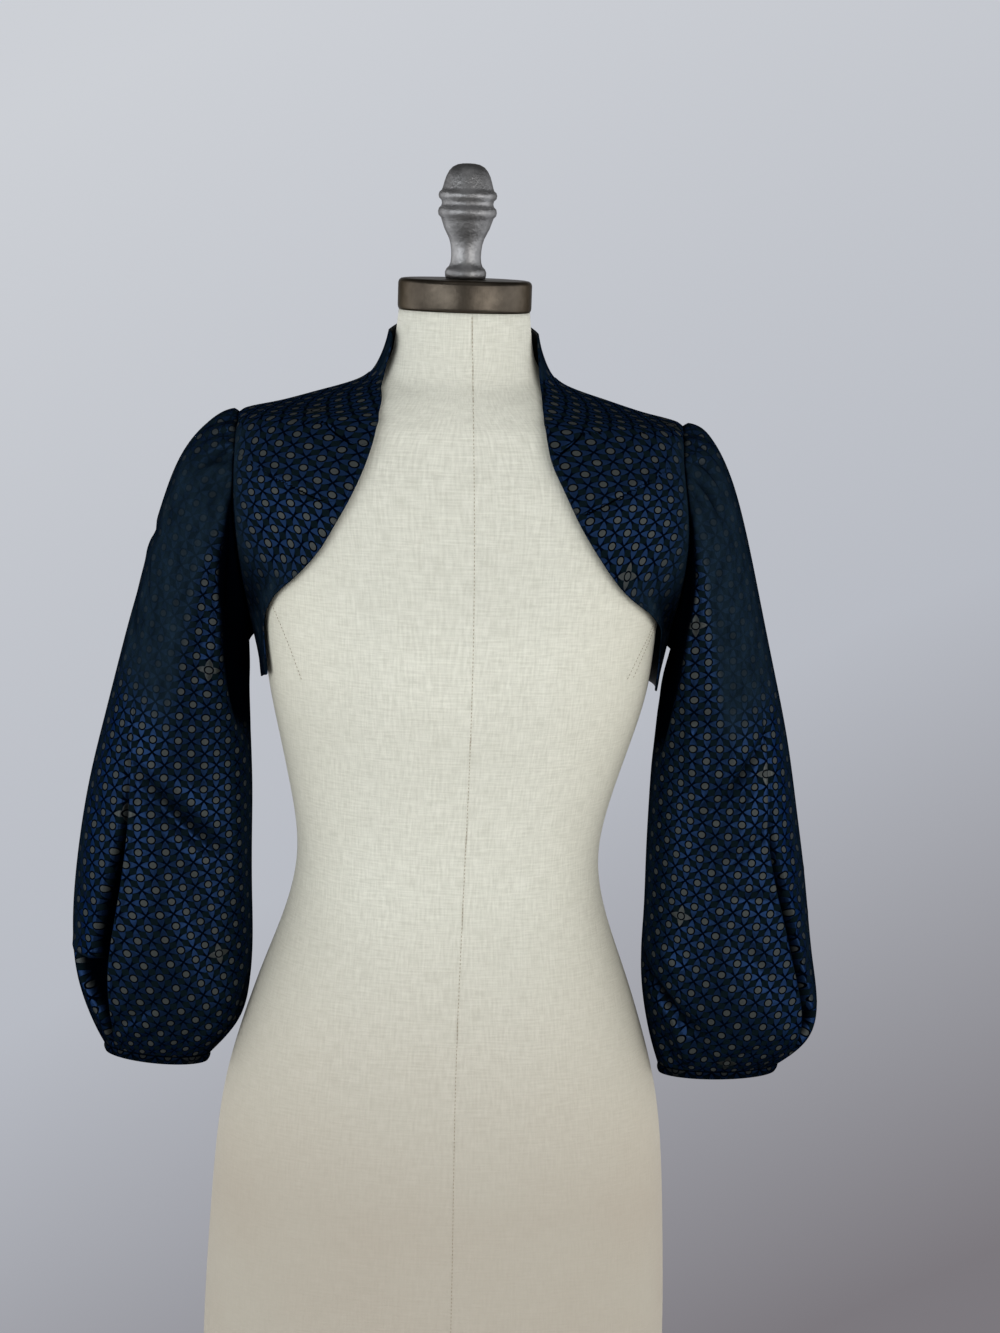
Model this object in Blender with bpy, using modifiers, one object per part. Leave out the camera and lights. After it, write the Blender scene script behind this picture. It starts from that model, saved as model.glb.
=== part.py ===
"""Bolero shrug on a limbless dress form: every cut piece a thin shell, the form and its stand solid.

Metres, +Z up, the wearer faces -Y, the origin on the floor under the pole. Tables are in millimetres.
"""
import math
from collections import namedtuple

import bmesh
import bpy
import numpy as np

MM = 0.001
TURN = 2.0 * math.pi

# Cloth sizes
CLOTH_THICKNESS = 1.4 * MM
SEAM_HALF_GAP = 0.2 * MM
ARMHOLE_GAP_TOP = 0.5 * MM
ARMHOLE_GAP_GROWTH = 0.95 * MM
ARMHOLE_GAP_SIDES = 0.45 * MM
BINDING_HEIGHT = 6.0 * MM
BINDING_GAP = 0.3 * MM

# Level sections of the dress form, bottom to top. Front and back are depths from the side line,
# and the bust stands a little to the wearer's left.
Section = namedtuple("Section", "height half_width front back power shift")
FORM_SECTIONS = (
    Section(540, 184, 100, 112, 2.30, 0),
    Section(600, 184, 100, 114, 2.30, 0),
    Section(680, 181, 102, 119, 2.30, 0),
    Section(745, 177, 104, 124, 2.30, 0),
    Section(800, 170, 105, 123, 2.25, 0),
    Section(850, 157, 103, 116, 2.20, 0),
    Section(895, 142, 99, 104, 2.15, 0),
    Section(940, 126, 93, 92, 2.10, 0),
    Section(985, 118, 90, 84, 2.10, 0),
    Section(1035, 125, 95, 85, 2.15, 1),
    Section(1085, 138, 108, 89, 2.20, 3),
    Section(1125, 147, 120, 94, 2.30, 4),
    Section(1160, 151, 123, 98, 2.35, 4),
    Section(1200, 155, 115, 101, 2.40, 4),
    Section(1245, 160, 99, 102, 2.45, 3),
    Section(1285, 165, 84, 97, 2.40, 1),
    Section(1306, 165.5, 75, 91, 2.25, 0),
    Section(1319, 161.5, 70, 86, 2.10, 0),
    Section(1327, 147, 67, 82, 1.95, 0),
    Section(1335, 126, 64, 78, 1.80, 0),
    Section(1343.2, 102, 61, 74, 1.70, 0),
    Section(1350, 82, 58, 69, 1.65, 0),
    Section(1358, 66, 55, 64, 1.70, 0),
    Section(1371, 56, 52.5, 57, 1.90, 0),
    Section(1388, 52, 51, 53, 2.00, 0),
    Section(1408, 50, 50, 50, 2.00, 0),
)

# Level sections of the worn body of the garment, at the middle of its cloth.
GARMENT_SECTIONS = (
    Section(1105, 147, 120, 96, 2.30, 5),
    Section(1130, 152, 125, 99.5, 2.30, 5),
    Section(1160, 156, 127.5, 102.5, 2.35, 5),
    Section(1200, 161, 120, 106, 2.40, 5),
    Section(1245, 166, 105, 107, 2.45, 4),
    Section(1285, 170, 91, 102, 2.40, 1),
    Section(1308, 170.5, 82, 96, 2.25, 0),
    Section(1320.5, 168.5, 76.5, 91, 2.15, 0),
    Section(1327.5, 158, 73, 87, 2.00, 0),
    Section(1334, 134, 69, 83, 1.85, 0),
    Section(1343.5, 105, 65.5, 78, 1.75, 0),
    Section(1350.5, 85, 63, 74, 1.70, 0),
    Section(1358, 71.5, 61.5, 70, 1.75, 0),
    Section(1371, 63, 60, 65, 1.90, 0),
    Section(1386, 58, 58, 61.5, 2.00, 0),
    Section(1408, 54.5, 56.5, 58.5, 2.00, 0),
)
SIDE_SIGN = {"left": 1.0, "right": -1.0}

# The armhole seam, once round from the shoulder tip by way of the front.
Around = namedtuple("Around", "x y z")
ARMHOLE = (
    Around(170.5, 2, 1326.5),
    Around(170.5, -34, 1304),
    Around(173, -46, 1258),
    Around(168, -38, 1204),
    Around(158, 3, 1157),
    Around(163, 42, 1204),
    Around(168, 50, 1258),
    Around(169.5, 38, 1304),
)

# The front edge on the body's surface: the angle round from the side, and the height.
Edge = namedtuple("Edge", "angle height")
FRONT_EDGE = {
    "right": (
        Edge(0, 1120),
        Edge(12, 1119),
        Edge(18.5, 1127),
        Edge(19, 1150),
        Edge(24, 1179),
        Edge(42.5, 1209),
        Edge(54, 1233),
        Edge(63, 1255),
        Edge(68, 1277),
        Edge(70.5, 1305),
        Edge(68, 1325),
        Edge(55, 1341),
        Edge(38, 1357),
        Edge(24, 1373),
        Edge(11, 1387),
        Edge(0, 1392),
    ),
    "left": (
        Edge(0, 1120),
        Edge(7, 1119.5),
        Edge(12, 1128),
        Edge(13, 1152),
        Edge(20, 1181),
        Edge(43, 1213.5),
        Edge(56.5, 1239),
        Edge(64.5, 1270),
        Edge(68.5, 1293),
        Edge(69, 1314),
        Edge(64.5, 1329),
        Edge(50, 1344),
        Edge(33, 1357),
        Edge(21, 1371),
        Edge(10, 1386),
        Edge(0, 1392),
    ),
}

# Heights on the back of the body
BACK_HEM_MIDDLE = 1128 * MM
SIDE_HEM = 1120 * MM
NECK_POINT = 1359 * MM
BACK_NECK_MIDDLE = 1367 * MM
COLLAR_TOP_SIDE = 1392 * MM
COLLAR_TOP_BACK = 1402 * MM

# Sleeve rings below the armhole: outermost and innermost points, depth to the front and to the back.
Ring = namedtuple("Ring", "outer_x outer_z inner_x inner_z front back")
SLEEVE_RINGS = {
    "right": (
        Ring(188, 1321, 160, 1147, 50, 54),
        Ring(206, 1303, 159.5, 1134, 52, 55),
        Ring(225, 1262, 159, 1116, 52, 55),
        Ring(240.5, 1206, 158, 1093, 51, 54),
        Ring(255.5, 1146, 156.5, 1064, 49, 53),
        Ring(269, 1089, 155, 1030, 49, 53),
        Ring(281, 1035, 154.5, 985, 51, 54),
        Ring(289, 980, 153.5, 945, 53, 55),
        Ring(292.5, 912, 152.5, 902, 55, 56),
        Ring(287.5, 874, 154.5, 872, 53, 54),
        Ring(275.5, 841, 164, 842, 44, 45),
        Ring(267, 824, 184, 818, 28, 29),
    ),
    "left": (
        Ring(188, 1321, 171, 1147, 50, 54),
        Ring(202, 1301, 167.5, 1132, 52, 55),
        Ring(217, 1262, 162, 1113, 52, 55),
        Ring(232, 1205, 159.5, 1090, 51, 54),
        Ring(246, 1148, 157.5, 1062, 49, 53),
        Ring(260, 1090, 156.5, 1030, 49, 53),
        Ring(271, 1030, 156, 988, 51, 54),
        Ring(280.5, 972, 156, 945, 53, 55),
        Ring(289, 912, 155.5, 902, 55, 56),
        Ring(294.5, 874, 159, 870, 54, 55),
        Ring(289, 847, 165, 843, 46, 46),
        Ring(266, 825, 172, 821, 28, 29),
    ),
}

# The long pleat on the outer front of each sleeve: how far down, the angle from the outermost line,
# how deep the trough behind its fold is.
Pleat = namedtuple("Pleat", "along angle depth")
PLEAT = {
    "right": (
        Pleat(0.00, 50, 0),
        Pleat(0.38, 50, 0),
        Pleat(0.52, 57, 4),
        Pleat(0.66, 64, 8),
        Pleat(0.80, 60, 9),
        Pleat(0.92, 52, 8),
        Pleat(1.00, 44, 2),
    ),
    "left": (
        Pleat(0.00, 48, 0),
        Pleat(0.40, 48, 0),
        Pleat(0.55, 53, 4),
        Pleat(0.68, 54, 8),
        Pleat(0.80, 47, 9),
        Pleat(0.92, 40, 7),
        Pleat(1.00, 40, 2),
    ),
}
PLEAT_REACH = 24.0
PLEAT_EDGE = 4.0

# The largest folds of each sleeve, straight runs in angle and in distance along it.
Fold = namedtuple("Fold", "angle_from along_from angle_to along_to width depth")
SLEEVE_FOLDS = {
    "right": (
        Fold(58, 0.57, 110, 0.66, 9, 5),
        Fold(20, 0.85, 48, 0.93, 8, 6),
        Fold(-4, 0.22, 40, 0.19, 8, 3),
        Fold(230, 0.52, 290, 0.62, 10, 5),
        Fold(300, 0.74, 340, 0.86, 9, 5),
    ),
    "left": (
        Fold(70, 0.55, 128, 0.64, 9, 5),
        Fold(62, 0.66, 100, 0.70, 8, 4),
        Fold(105, 0.86, 150, 0.97, 9, 6),
        Fold(225, 0.55, 285, 0.64, 10, 5),
        Fold(295, 0.76, 335, 0.88, 9, 5),
    ),
}

# Turned outlines, radius and height, down the outer side.
Turned = namedtuple("Turned", "radius height")
CAP_OUTLINE = (
    Turned(0, 1432),
    Turned(47.5, 1432),
    Turned(50, 1431),
    Turned(51, 1428.5),
    Turned(51, 1411),
    Turned(50.2, 1408.3),
    Turned(0, 1408.3),
)
FINIAL_OUTLINE = (
    Turned(0, 1519),
    Turned(8, 1518.4),
    Turned(13.5, 1515.5),
    Turned(17, 1509),
    Turned(19.2, 1501),
    Turned(20.2, 1498),
    Turned(22.3, 1496),
    Turned(22.3, 1493.5),
    Turned(19.6, 1490.5),
    Turned(19.6, 1487.5),
    Turned(22.4, 1484),
    Turned(22.4, 1480.5),
    Turned(19.6, 1477),
    Turned(17.2, 1470),
    Turned(13.4, 1463),
    Turned(11.7, 1457),
    Turned(11.2, 1450),
    Turned(11.8, 1443.5),
    Turned(14.8, 1439.5),
    Turned(15.8, 1436.5),
    Turned(15.2, 1432.3),
    Turned(0, 1432.3),
)
POLE_OUTLINE = (
    Turned(0, 539.7),
    Turned(16, 539.7),
    Turned(16, 46.3),
    Turned(0, 46.3),
)
SOCKET_OUTLINE = (
    Turned(0, 46),
    Turned(26, 46),
    Turned(30, 43),
    Turned(37, 18.3),
    Turned(0, 18.3),
)
BASE_OUTLINE = (
    Turned(0, 18),
    Turned(48, 18),
    Turned(180, 13),
    Turned(188, 10),
    Turned(190, 6),
    Turned(188, 0),
    Turned(0, 0),
)


def spline(knots, values, where):
    """Natural cubic spline through rows of values, read at any array of places."""
    knots = np.asarray(knots, float)
    values = np.asarray(values, float)
    where = np.asarray(where, float)
    steps = np.diff(knots)
    slopes = np.diff(values, axis=0) / steps[:, None]
    size = len(knots)
    system = np.eye(size)
    right = np.zeros_like(values)
    for i in range(1, size - 1):
        system[i, i - 1] = steps[i - 1]
        system[i, i] = 2.0 * (steps[i - 1] + steps[i])
        system[i, i + 1] = steps[i]
        right[i] = 6.0 * (slopes[i] - slopes[i - 1])
    bend = np.linalg.solve(system, right)
    span = np.clip(np.searchsorted(knots, where, side="right") - 1, 0, size - 2)
    width = steps[span][..., None]
    near = where[..., None] - knots[span][..., None]
    far = width - near
    curve = (bend[span] * far**3 + bend[span + 1] * near**3) / (6.0 * width)
    low = (values[span] / width - bend[span] * width / 6.0) * far
    high = (values[span + 1] / width - bend[span + 1] * width / 6.0) * near
    return curve + low + high


def ramp(low, high, value):
    """Smooth step from 0 at low to 1 at high."""
    t = np.clip((value - low) / (high - low), 0.0, 1.0)
    return t * t * (3.0 - 2.0 * t)


def ramp_line(low, high, value):
    """Straight step from 0 at low to 1 at high."""
    return np.clip((value - low) / (high - low), 0.0, 1.0)


class Hull:
    """A stack of level oval sections, read by the length along its side outline."""

    def __init__(self, sections):
        rows = np.array(sections, float)
        rows[:, [0, 1, 2, 3, 5]] *= MM
        steps = np.hypot(np.diff(rows[:, 0]), np.diff(rows[:, 1]))
        self.rows = rows
        self.knots = np.concatenate([[0.0], np.cumsum(steps)])
        self.length = self.knots[-1]
        self.fine = np.linspace(0.0, self.length, 2000)
        self.heights = spline(self.knots, rows, self.fine)[:, 0]

    def station(self, height):
        """The length along the side outline at a height."""
        return np.interp(height, self.heights, self.fine)

    def point(self, angle, station, side="left"):
        """A point of the surface: angle 0 is the side, -90 degrees the front, 90 the back."""
        row = spline(self.knots, self.rows, station)
        height, half_width, front, back, power, shift = np.moveaxis(row, -1, 0)
        cos, sin = np.cos(angle), np.sin(angle)
        depth = np.where(sin < 0.0, front, back)
        x = half_width * np.sign(cos) * np.abs(cos) ** (2.0 / power) + shift * SIDE_SIGN[side]
        y = depth * np.sign(sin) * np.abs(sin) ** (2.0 / power)
        return np.stack([x, y, height], -1)

    def angle_at_depth(self, y, station):
        """The angle of the surface point that lies at depth y, on the near side."""
        row = spline(self.knots, self.rows, station)
        depth = np.where(y < 0.0, row[..., 2], row[..., 3])
        share = np.clip(np.abs(y) / depth, 0.0, 1.0)
        return np.sign(y) * np.arcsin(share ** (row[..., 4] / 2.0))


FORM = Hull(FORM_SECTIONS)
GARMENT = Hull(GARMENT_SECTIONS)


def armhole(side, turn):
    """The armhole seam on the +X side, turn in radians from the shoulder tip by way of the front."""
    rows = np.array(ARMHOLE, float) * MM
    count = len(rows)
    wrapped = np.concatenate([rows[-4:], rows, rows[:5]])
    knots = np.arange(-4, count + 5) * TURN / count
    loop = spline(knots, wrapped, np.mod(turn, TURN))
    shift = spline(GARMENT.knots, GARMENT.rows, GARMENT.station(loop[..., 2]))[..., 5]
    loop[..., 0] += shift * SIDE_SIGN[side]
    return loop


def armhole_on_body(side, turn):
    """The armhole in the body's own coordinates: angle and length up the side outline."""
    loop = armhole(side, turn)
    station = GARMENT.station(loop[..., 2])
    return np.stack([GARMENT.angle_at_depth(loop[..., 1], station), station], -1)


def front_edge(side, share):
    """The hem and front edge in the body's own coordinates, from the side hem to the collar top."""
    rows = np.array(FRONT_EDGE[side], float)
    angle = -np.radians(rows[:, 0])
    station = GARMENT.station(rows[:, 1] * MM)
    flat = np.stack([angle * 0.13, station], -1)
    steps = np.linalg.norm(np.diff(flat, axis=0), axis=1)
    knots = np.concatenate([[0.0], np.cumsum(steps)]) / np.sum(steps)
    return spline(knots, np.stack([angle, station], -1), share)


def along_line(start, end, share):
    """Points on a straight line between two pairs of body coordinates."""
    share = np.asarray(share)[..., None]
    return np.asarray(start) * (1.0 - share) + np.asarray(end) * share


def patch(u, v, left, right, bottom, top):
    """Coons patch: left and right run with v, bottom and top with u."""
    u1, v1 = u[..., None], v[..., None]
    zero, one = np.zeros_like(u), np.ones_like(u)
    sides = left(v) * (1.0 - u1) + right(v) * u1
    ends = bottom(u) * (1.0 - v1) + top(u) * v1
    low = left(zero) * (1.0 - u1) + right(zero) * u1
    high = left(one) * (1.0 - u1) + right(one) * u1
    return sides + ends - low * (1.0 - v1) - high * v1


def pull_to_armhole(points, side, turn, reach):
    """Moves body points out to the armhole seam where reach is 1, and leaves them where it is 0."""
    flat = armhole_on_body(side, turn)
    gap = armhole(side, turn) - GARMENT.point(flat[..., 0], flat[..., 1], side)
    return points + gap * reach[..., None]


def front_panel(side, u, v):
    """A front on the +X side: u from the armhole to the front edge, v from the side seam to the shoulder."""
    def turn(share):
        return math.pi * (1.0 - share)

    def left(share):
        return armhole_on_body(side, turn(share))

    def right(share):
        return front_edge(side, share)

    def bottom(share):
        return along_line(left(np.zeros(1))[0], right(np.zeros(1))[0], share)

    def top(share):
        return along_line(left(np.ones(1))[0], right(np.ones(1))[0], share)

    flat = patch(u, v, left, right, bottom, top)
    flat[..., 0] = np.minimum(flat[..., 0], 0.0)
    points = GARMENT.point(flat[..., 0], flat[..., 1], side)
    points = pull_to_armhole(points, side, turn(v), 1.0 - ramp(0.0, 0.75, u))
    points[..., 1] -= SEAM_HALF_GAP
    return points


def back_half(side, u, v):
    """Half the back on the +X side: u from the side to the middle, v from the hem to the neck."""
    side_share = 1.0 / 6.0
    shoulder_share = 0.5

    def turn(share):
        return TURN - math.pi * (1.0 - ramp_line(side_share, 1.0, share))

    def left(share):
        loop = armhole_on_body(side, turn(share))
        hem = np.array([0.0, GARMENT.station(SIDE_HEM)])
        low = along_line(hem, armhole_on_body(side, np.array([math.pi]))[0], share / side_share)
        return np.where((share < side_share)[..., None], low, loop)

    def right(share):
        low = [math.pi / 2.0, GARMENT.station(BACK_HEM_MIDDLE)]
        high = [math.pi / 2.0, GARMENT.station(BACK_NECK_MIDDLE)]
        return along_line(low, high, share)

    def bottom(share):
        height = SIDE_HEM + (BACK_HEM_MIDDLE - SIDE_HEM) * ramp(0.0, 1.0, share)
        return np.stack([share * math.pi / 2.0, GARMENT.station(height)], -1)

    def top(share):
        neck = np.array([0.0, GARMENT.station(NECK_POINT)])
        low = along_line(left(np.ones(1))[0], neck, share / shoulder_share)
        sweep = ramp_line(shoulder_share, 1.0, share)
        height = NECK_POINT + (BACK_NECK_MIDDLE - NECK_POINT) * ramp(0.0, 1.0, sweep)
        high = np.stack([sweep * math.pi / 2.0, GARMENT.station(height)], -1)
        return np.where((share < shoulder_share)[..., None], low, high)

    flat = patch(u, v, left, right, bottom, top)
    flat[..., 0] = np.maximum(flat[..., 0], 0.0)
    points = GARMENT.point(flat[..., 0], flat[..., 1], side)
    reach = (1.0 - ramp(0.0, 0.6, u)) * ramp(0.0, side_share, v)
    points = pull_to_armhole(points, side, turn(v), reach)
    points[..., 1] += SEAM_HALF_GAP
    return points


def back_panel(u, v):
    """The whole back: u from the wearer's left side to the right side."""
    across = np.abs(2.0 * u - 1.0)
    left = back_half("left", 1.0 - across, v)
    right = back_half("right", 1.0 - across, v)
    right[..., 0] *= -1.0
    return np.where((u < 0.5)[..., None], left, right)


def collar_strip(u, v):
    """The back stretch of the stand collar, u from left shoulder to right, v up to its edge."""
    angle = u * math.pi
    rise = ramp(0.0, 1.0, np.sin(angle))
    low = NECK_POINT + (BACK_NECK_MIDDLE - NECK_POINT) * rise
    high = COLLAR_TOP_SIDE + (COLLAR_TOP_BACK - COLLAR_TOP_SIDE) * rise
    low = low + 2.0 * SEAM_HALF_GAP
    points = GARMENT.point(angle, GARMENT.station(low + (high - low) * v))
    points[..., 1] += SEAM_HALF_GAP
    return points


def sleeve_rings(side, turn):
    """Every ring of a sleeve at the turns given: rings first, then turns."""
    gap = ARMHOLE_GAP_TOP + ARMHOLE_GAP_GROWTH * (1.0 - np.cos(turn))
    gap = gap + ARMHOLE_GAP_SIDES * np.abs(np.sin(turn))
    first = armhole(side, turn)
    first[..., 0] += gap
    rings = [first]
    for ring in SLEEVE_RINGS[side]:
        outer = np.array([ring.outer_x, 0.0, ring.outer_z]) * MM
        inner = np.array([ring.inner_x, 0.0, ring.inner_z]) * MM
        cos, sin = np.cos(turn)[..., None], np.sin(turn)[..., None]
        depth = np.where(sin > 0.0, ring.front, ring.back) * MM
        forward = np.array([0.0, -1.0, 0.0])
        rings.append((outer + inner) / 2.0 + (outer - inner) / 2.0 * cos + forward * depth * sin)
    return np.stack(rings)


def ring_knots(side):
    """How far along the sleeve each ring lies, from 0 at the armhole to 1 at the cuff."""
    sample = sleeve_rings(side, np.linspace(0.0, TURN, 32, endpoint=False))
    steps = np.linalg.norm(np.diff(sample, axis=0), axis=-1).mean(axis=1)
    return np.concatenate([[0.0], np.cumsum(steps)]) / np.sum(steps)


def sleeve_smooth(side, turn, along):
    """The sleeve without its folds, on the +X side."""
    shape = np.broadcast(turn, along).shape
    turns = np.broadcast_to(turn, shape).ravel()
    alongs = np.broadcast_to(along, shape).ravel()
    knots = ring_knots(side)
    shares = spline(knots, np.eye(len(knots)), alongs)
    points = np.einsum("pk,kpc->pc", shares, sleeve_rings(side, turns))
    return points.reshape(shape + (3,))


def outward(side, turn, along):
    """Outward unit normals of the smooth sleeve."""
    step = 1e-3
    low, high = np.clip(along - step, 0.0, 1.0), np.clip(along + step, 0.0, 1.0)
    down = sleeve_smooth(side, turn, high) - sleeve_smooth(side, turn, low)
    across = sleeve_smooth(side, turn + step, along) - sleeve_smooth(side, turn - step, along)
    normal = np.cross(across, down)
    return normal / np.linalg.norm(normal, axis=-1, keepdims=True)


def pleat_at(side, along):
    """The pleat's angle in radians and its depth in metres at places along the sleeve."""
    rows = np.array(PLEAT[side], float)
    found = spline(rows[:, 0], rows[:, 1:], along)
    return np.radians(found[..., 0]), np.maximum(found[..., 1], 0.0) * MM


def fold_depth(side, turn, along):
    """How far the folds press the sleeve in, at each place."""
    pleat_turn, pleat_depth = pleat_at(side, along)
    behind = np.degrees(np.mod(pleat_turn - turn + math.pi, TURN) - math.pi)
    trough = ramp(0.0, PLEAT_EDGE, behind) * (1.0 - ramp(PLEAT_EDGE, PLEAT_REACH, behind))
    depth = pleat_depth * trough
    around_scale, along_scale = 60.0, 520.0
    for fold in SLEEVE_FOLDS[side]:
        start = np.array([math.radians(fold.angle_from) * around_scale, fold.along_from * along_scale])
        end = np.array([math.radians(fold.angle_to) * around_scale, fold.along_to * along_scale])
        middle = math.radians((fold.angle_from + fold.angle_to) / 2.0)
        near_turn = np.mod(turn - middle + math.pi, TURN) - math.pi + middle
        place = np.stack(np.broadcast_arrays(near_turn * around_scale, along * along_scale), -1)
        run = end - start
        share = np.clip(((place - start) @ run) / (run @ run), 0.0, 1.0)
        off = np.linalg.norm(place - start - share[..., None] * run, axis=-1)
        depth = depth + fold.depth * MM * np.exp(-((off / fold.width) ** 2))
    ends = ramp(0.0, 0.06, along) * (1.0 - ramp(0.95, 1.0, along))
    return depth * ends


def sleeve(side, u, v):
    """A sleeve on the +X side with its pleat and folds, u once round, v down to the cuff."""
    pleat_turn, _ = pleat_at(side, v)
    lean = pleat_turn - math.radians(50.0)
    turn = u * TURN
    turn = turn + lean * np.exp(-((np.mod(turn - math.radians(50.0) + math.pi, TURN) - math.pi) / 0.8) ** 2)
    points = sleeve_smooth(side, turn, v)
    return points - outward(side, turn, v) * fold_depth(side, turn, v)[..., None]


def binding(side, u, v):
    """The narrow band round the sleeve's end, u once round, v down."""
    turn = u * TURN
    last = sleeve_smooth(side, turn, np.ones_like(turn))
    before = sleeve_smooth(side, turn, np.full_like(turn, 0.985))
    run = last - before
    run /= np.linalg.norm(run, axis=-1, keepdims=True)
    down = run * 0.35 + np.array([0.0, 0.0, -1.0]) * 0.65
    down /= np.linalg.norm(down, axis=-1, keepdims=True)
    start = BINDING_GAP + CLOTH_THICKNESS * 0.35
    return last + down * (start + BINDING_HEIGHT * v)[..., None]


def torso(u, v):
    """The dress form, u once round, v from the bottom to the neck."""
    return FORM.point(u * TURN, v * FORM.length)


def material(name, colour, roughness, metallic):
    """A plain Principled material."""
    made = bpy.data.materials.new(name)
    made.use_nodes = True
    shader = made.node_tree.nodes["Principled BSDF"]
    shader.inputs["Base Color"].default_value = (*colour, 1.0)
    shader.inputs["Roughness"].default_value = roughness
    shader.inputs["Metallic"].default_value = metallic
    return made


def add_object(name, mesh, collection, finish):
    """A named object of a mesh, smooth shaded, in its collection with its material."""
    made = bpy.data.objects.new(name, mesh)
    collection.objects.link(made)
    mesh.materials.append(finish)
    mesh.polygons.foreach_set("use_smooth", [True] * len(mesh.polygons))
    return made


def grid_mesh(name, columns, rows, place, joined=False, flip=False, row_share=None):
    """A grid with its corners moved to where place puts them, joined into a tube where asked."""
    sheet = bmesh.new()
    bmesh.ops.create_grid(sheet, x_segments=columns, y_segments=rows, size=0.5)
    flat = np.array([corner.co for corner in sheet.verts])
    u = np.clip(flat[:, 0] + 0.5, 0.0, 1.0)
    v = np.clip(flat[:, 1] + 0.5, 0.0, 1.0)
    v = np.round(v, 6)
    if row_share is not None:
        v = row_share(v)
    for corner, moved in zip(sheet.verts, place(u, v)):
        corner.co = moved
    if joined:
        bmesh.ops.remove_doubles(sheet, verts=sheet.verts, dist=1e-6)
    if flip:
        bmesh.ops.reverse_faces(sheet, faces=sheet.faces)
    mesh = bpy.data.meshes.new(name)
    sheet.to_mesh(mesh)
    sheet.free()
    return mesh


def add_shell(name, mesh, collection, finish):
    """A cloth piece: the sheet thickened evenly about its middle."""
    made = add_object(name, mesh, collection, finish)
    thicken = made.modifiers.new("cloth thickness", "SOLIDIFY")
    thicken.thickness = CLOTH_THICKNESS
    thicken.offset = 0.0
    return made


def add_turned(name, outline, collection, finish, steps):
    """A turned piece: its outline carried once round the upright axis."""
    profile = bmesh.new()
    corners = [profile.verts.new((row.radius * MM, 0.0, row.height * MM)) for row in outline]
    for first, second in zip(corners, corners[1:]):
        profile.edges.new((first, second))
    mesh = bpy.data.meshes.new(name)
    profile.to_mesh(mesh)
    profile.free()
    made = bpy.data.objects.new(name, mesh)
    collection.objects.link(made)
    mesh.materials.append(finish)
    turned = made.modifiers.new("turned", "SCREW")
    turned.axis = "Z"
    turned.steps = steps
    turned.render_steps = steps
    turned.use_merge_vertices = True
    turned.merge_threshold = 0.00001
    turned.use_smooth_shade = True
    return made


def add_torso(collection, finish):
    """The dress form as one closed body: a tube of sections with a flat end at neck and bottom."""
    tube = bmesh.new()
    columns, rows = 56, 46
    bmesh.ops.create_grid(tube, x_segments=columns, y_segments=rows, size=0.5)
    flat = np.array([corner.co for corner in tube.verts])
    for corner, moved in zip(tube.verts, torso(flat[:, 0] + 0.5, np.clip(flat[:, 1] + 0.5, 0.0, 1.0))):
        corner.co = moved
    bmesh.ops.remove_doubles(tube, verts=tube.verts, dist=1e-6)
    rims = [edge for edge in tube.edges if edge.is_boundary]
    bmesh.ops.holes_fill(tube, edges=rims, sides=0)
    bmesh.ops.recalc_face_normals(tube, faces=tube.faces)
    mesh = bpy.data.meshes.new("torso")
    tube.to_mesh(mesh)
    tube.free()
    return add_object("torso", mesh, collection, finish)


def mirrored(place):
    """The same piece on the wearer's right."""
    def turned(u, v):
        points = place(u, v)
        points[..., 0] *= -1.0
        return points
    return turned


def add_sides(collection, finish):
    """Both fronts, both sleeves and both sleeve bindings."""
    for side in ("right", "left"):
        def front(u, v, side=side):
            return front_panel(side, u, v)

        def tube(u, v, side=side):
            return sleeve(side, u, v)

        def band(u, v, side=side):
            return binding(side, u, v)

        flip = side == "right"
        if flip:
            front, tube, band = mirrored(front), mirrored(tube), mirrored(band)
        add_shell("front_" + side, grid_mesh("front_" + side, 12, 18, front, flip=flip), collection, finish)
        mesh = grid_mesh("sleeve_" + side, 34, 20, tube, joined=True, flip=flip)
        add_shell("sleeve_" + side, mesh, collection, finish)
        mesh = grid_mesh("sleeve_band_" + side, 32, 1, band, joined=True, flip=flip)
        add_shell("sleeve_band_" + side, mesh, collection, finish)


def clear_scene():
    """Takes every object out of the scene."""
    for old in list(bpy.data.objects):
        bpy.data.objects.remove(old, do_unlink=True)


def build():
    """Every piece, in one collection."""
    clear_scene()
    collection = bpy.data.collections.new("bolero_on_dress_form")
    bpy.context.scene.collection.children.link(collection)
    cloth = material("printed_satin", (0.012, 0.018, 0.035), 0.45, 0.0)
    linen = material("cream_linen", (0.66, 0.60, 0.48), 0.85, 0.0)
    bronze = material("aged_nickel", (0.16, 0.13, 0.105), 0.35, 1.0)
    pewter = material("cast_pewter", (0.36, 0.36, 0.37), 0.45, 1.0)
    painted = material("black_paint", (0.02, 0.02, 0.02), 0.4, 0.0)
    add_sides(collection, cloth)
    add_shell("back", grid_mesh("back", 24, 12, back_panel, flip=True), collection, cloth)
    add_shell("collar", grid_mesh("collar", 24, 4, collar_strip, flip=True), collection, cloth)
    add_torso(collection, linen)
    add_turned("neck_cap", CAP_OUTLINE, collection, bronze, 48)
    add_turned("finial", FINIAL_OUTLINE, collection, pewter, 40)
    add_turned("pole", POLE_OUTLINE, collection, painted, 32)
    add_turned("pole_socket", SOCKET_OUTLINE, collection, painted, 48)
    add_turned("base", BASE_OUTLINE, collection, painted, 64)


build()
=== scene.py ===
"""Bolero shrug on a dress form: the finished look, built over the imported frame.

Metres, +Z up, the wearer faces -Y, the origin on the floor under the pole. Shape tables are in millimetres.
Every piece of the wearer's right side is worked out on +X and mirrored.
"""
import math
from collections import namedtuple
from functools import partial

import bmesh
import bpy
import numpy as np
from bpy.props import FloatProperty, FloatVectorProperty, PointerProperty
from mathutils import Matrix, Vector


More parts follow.
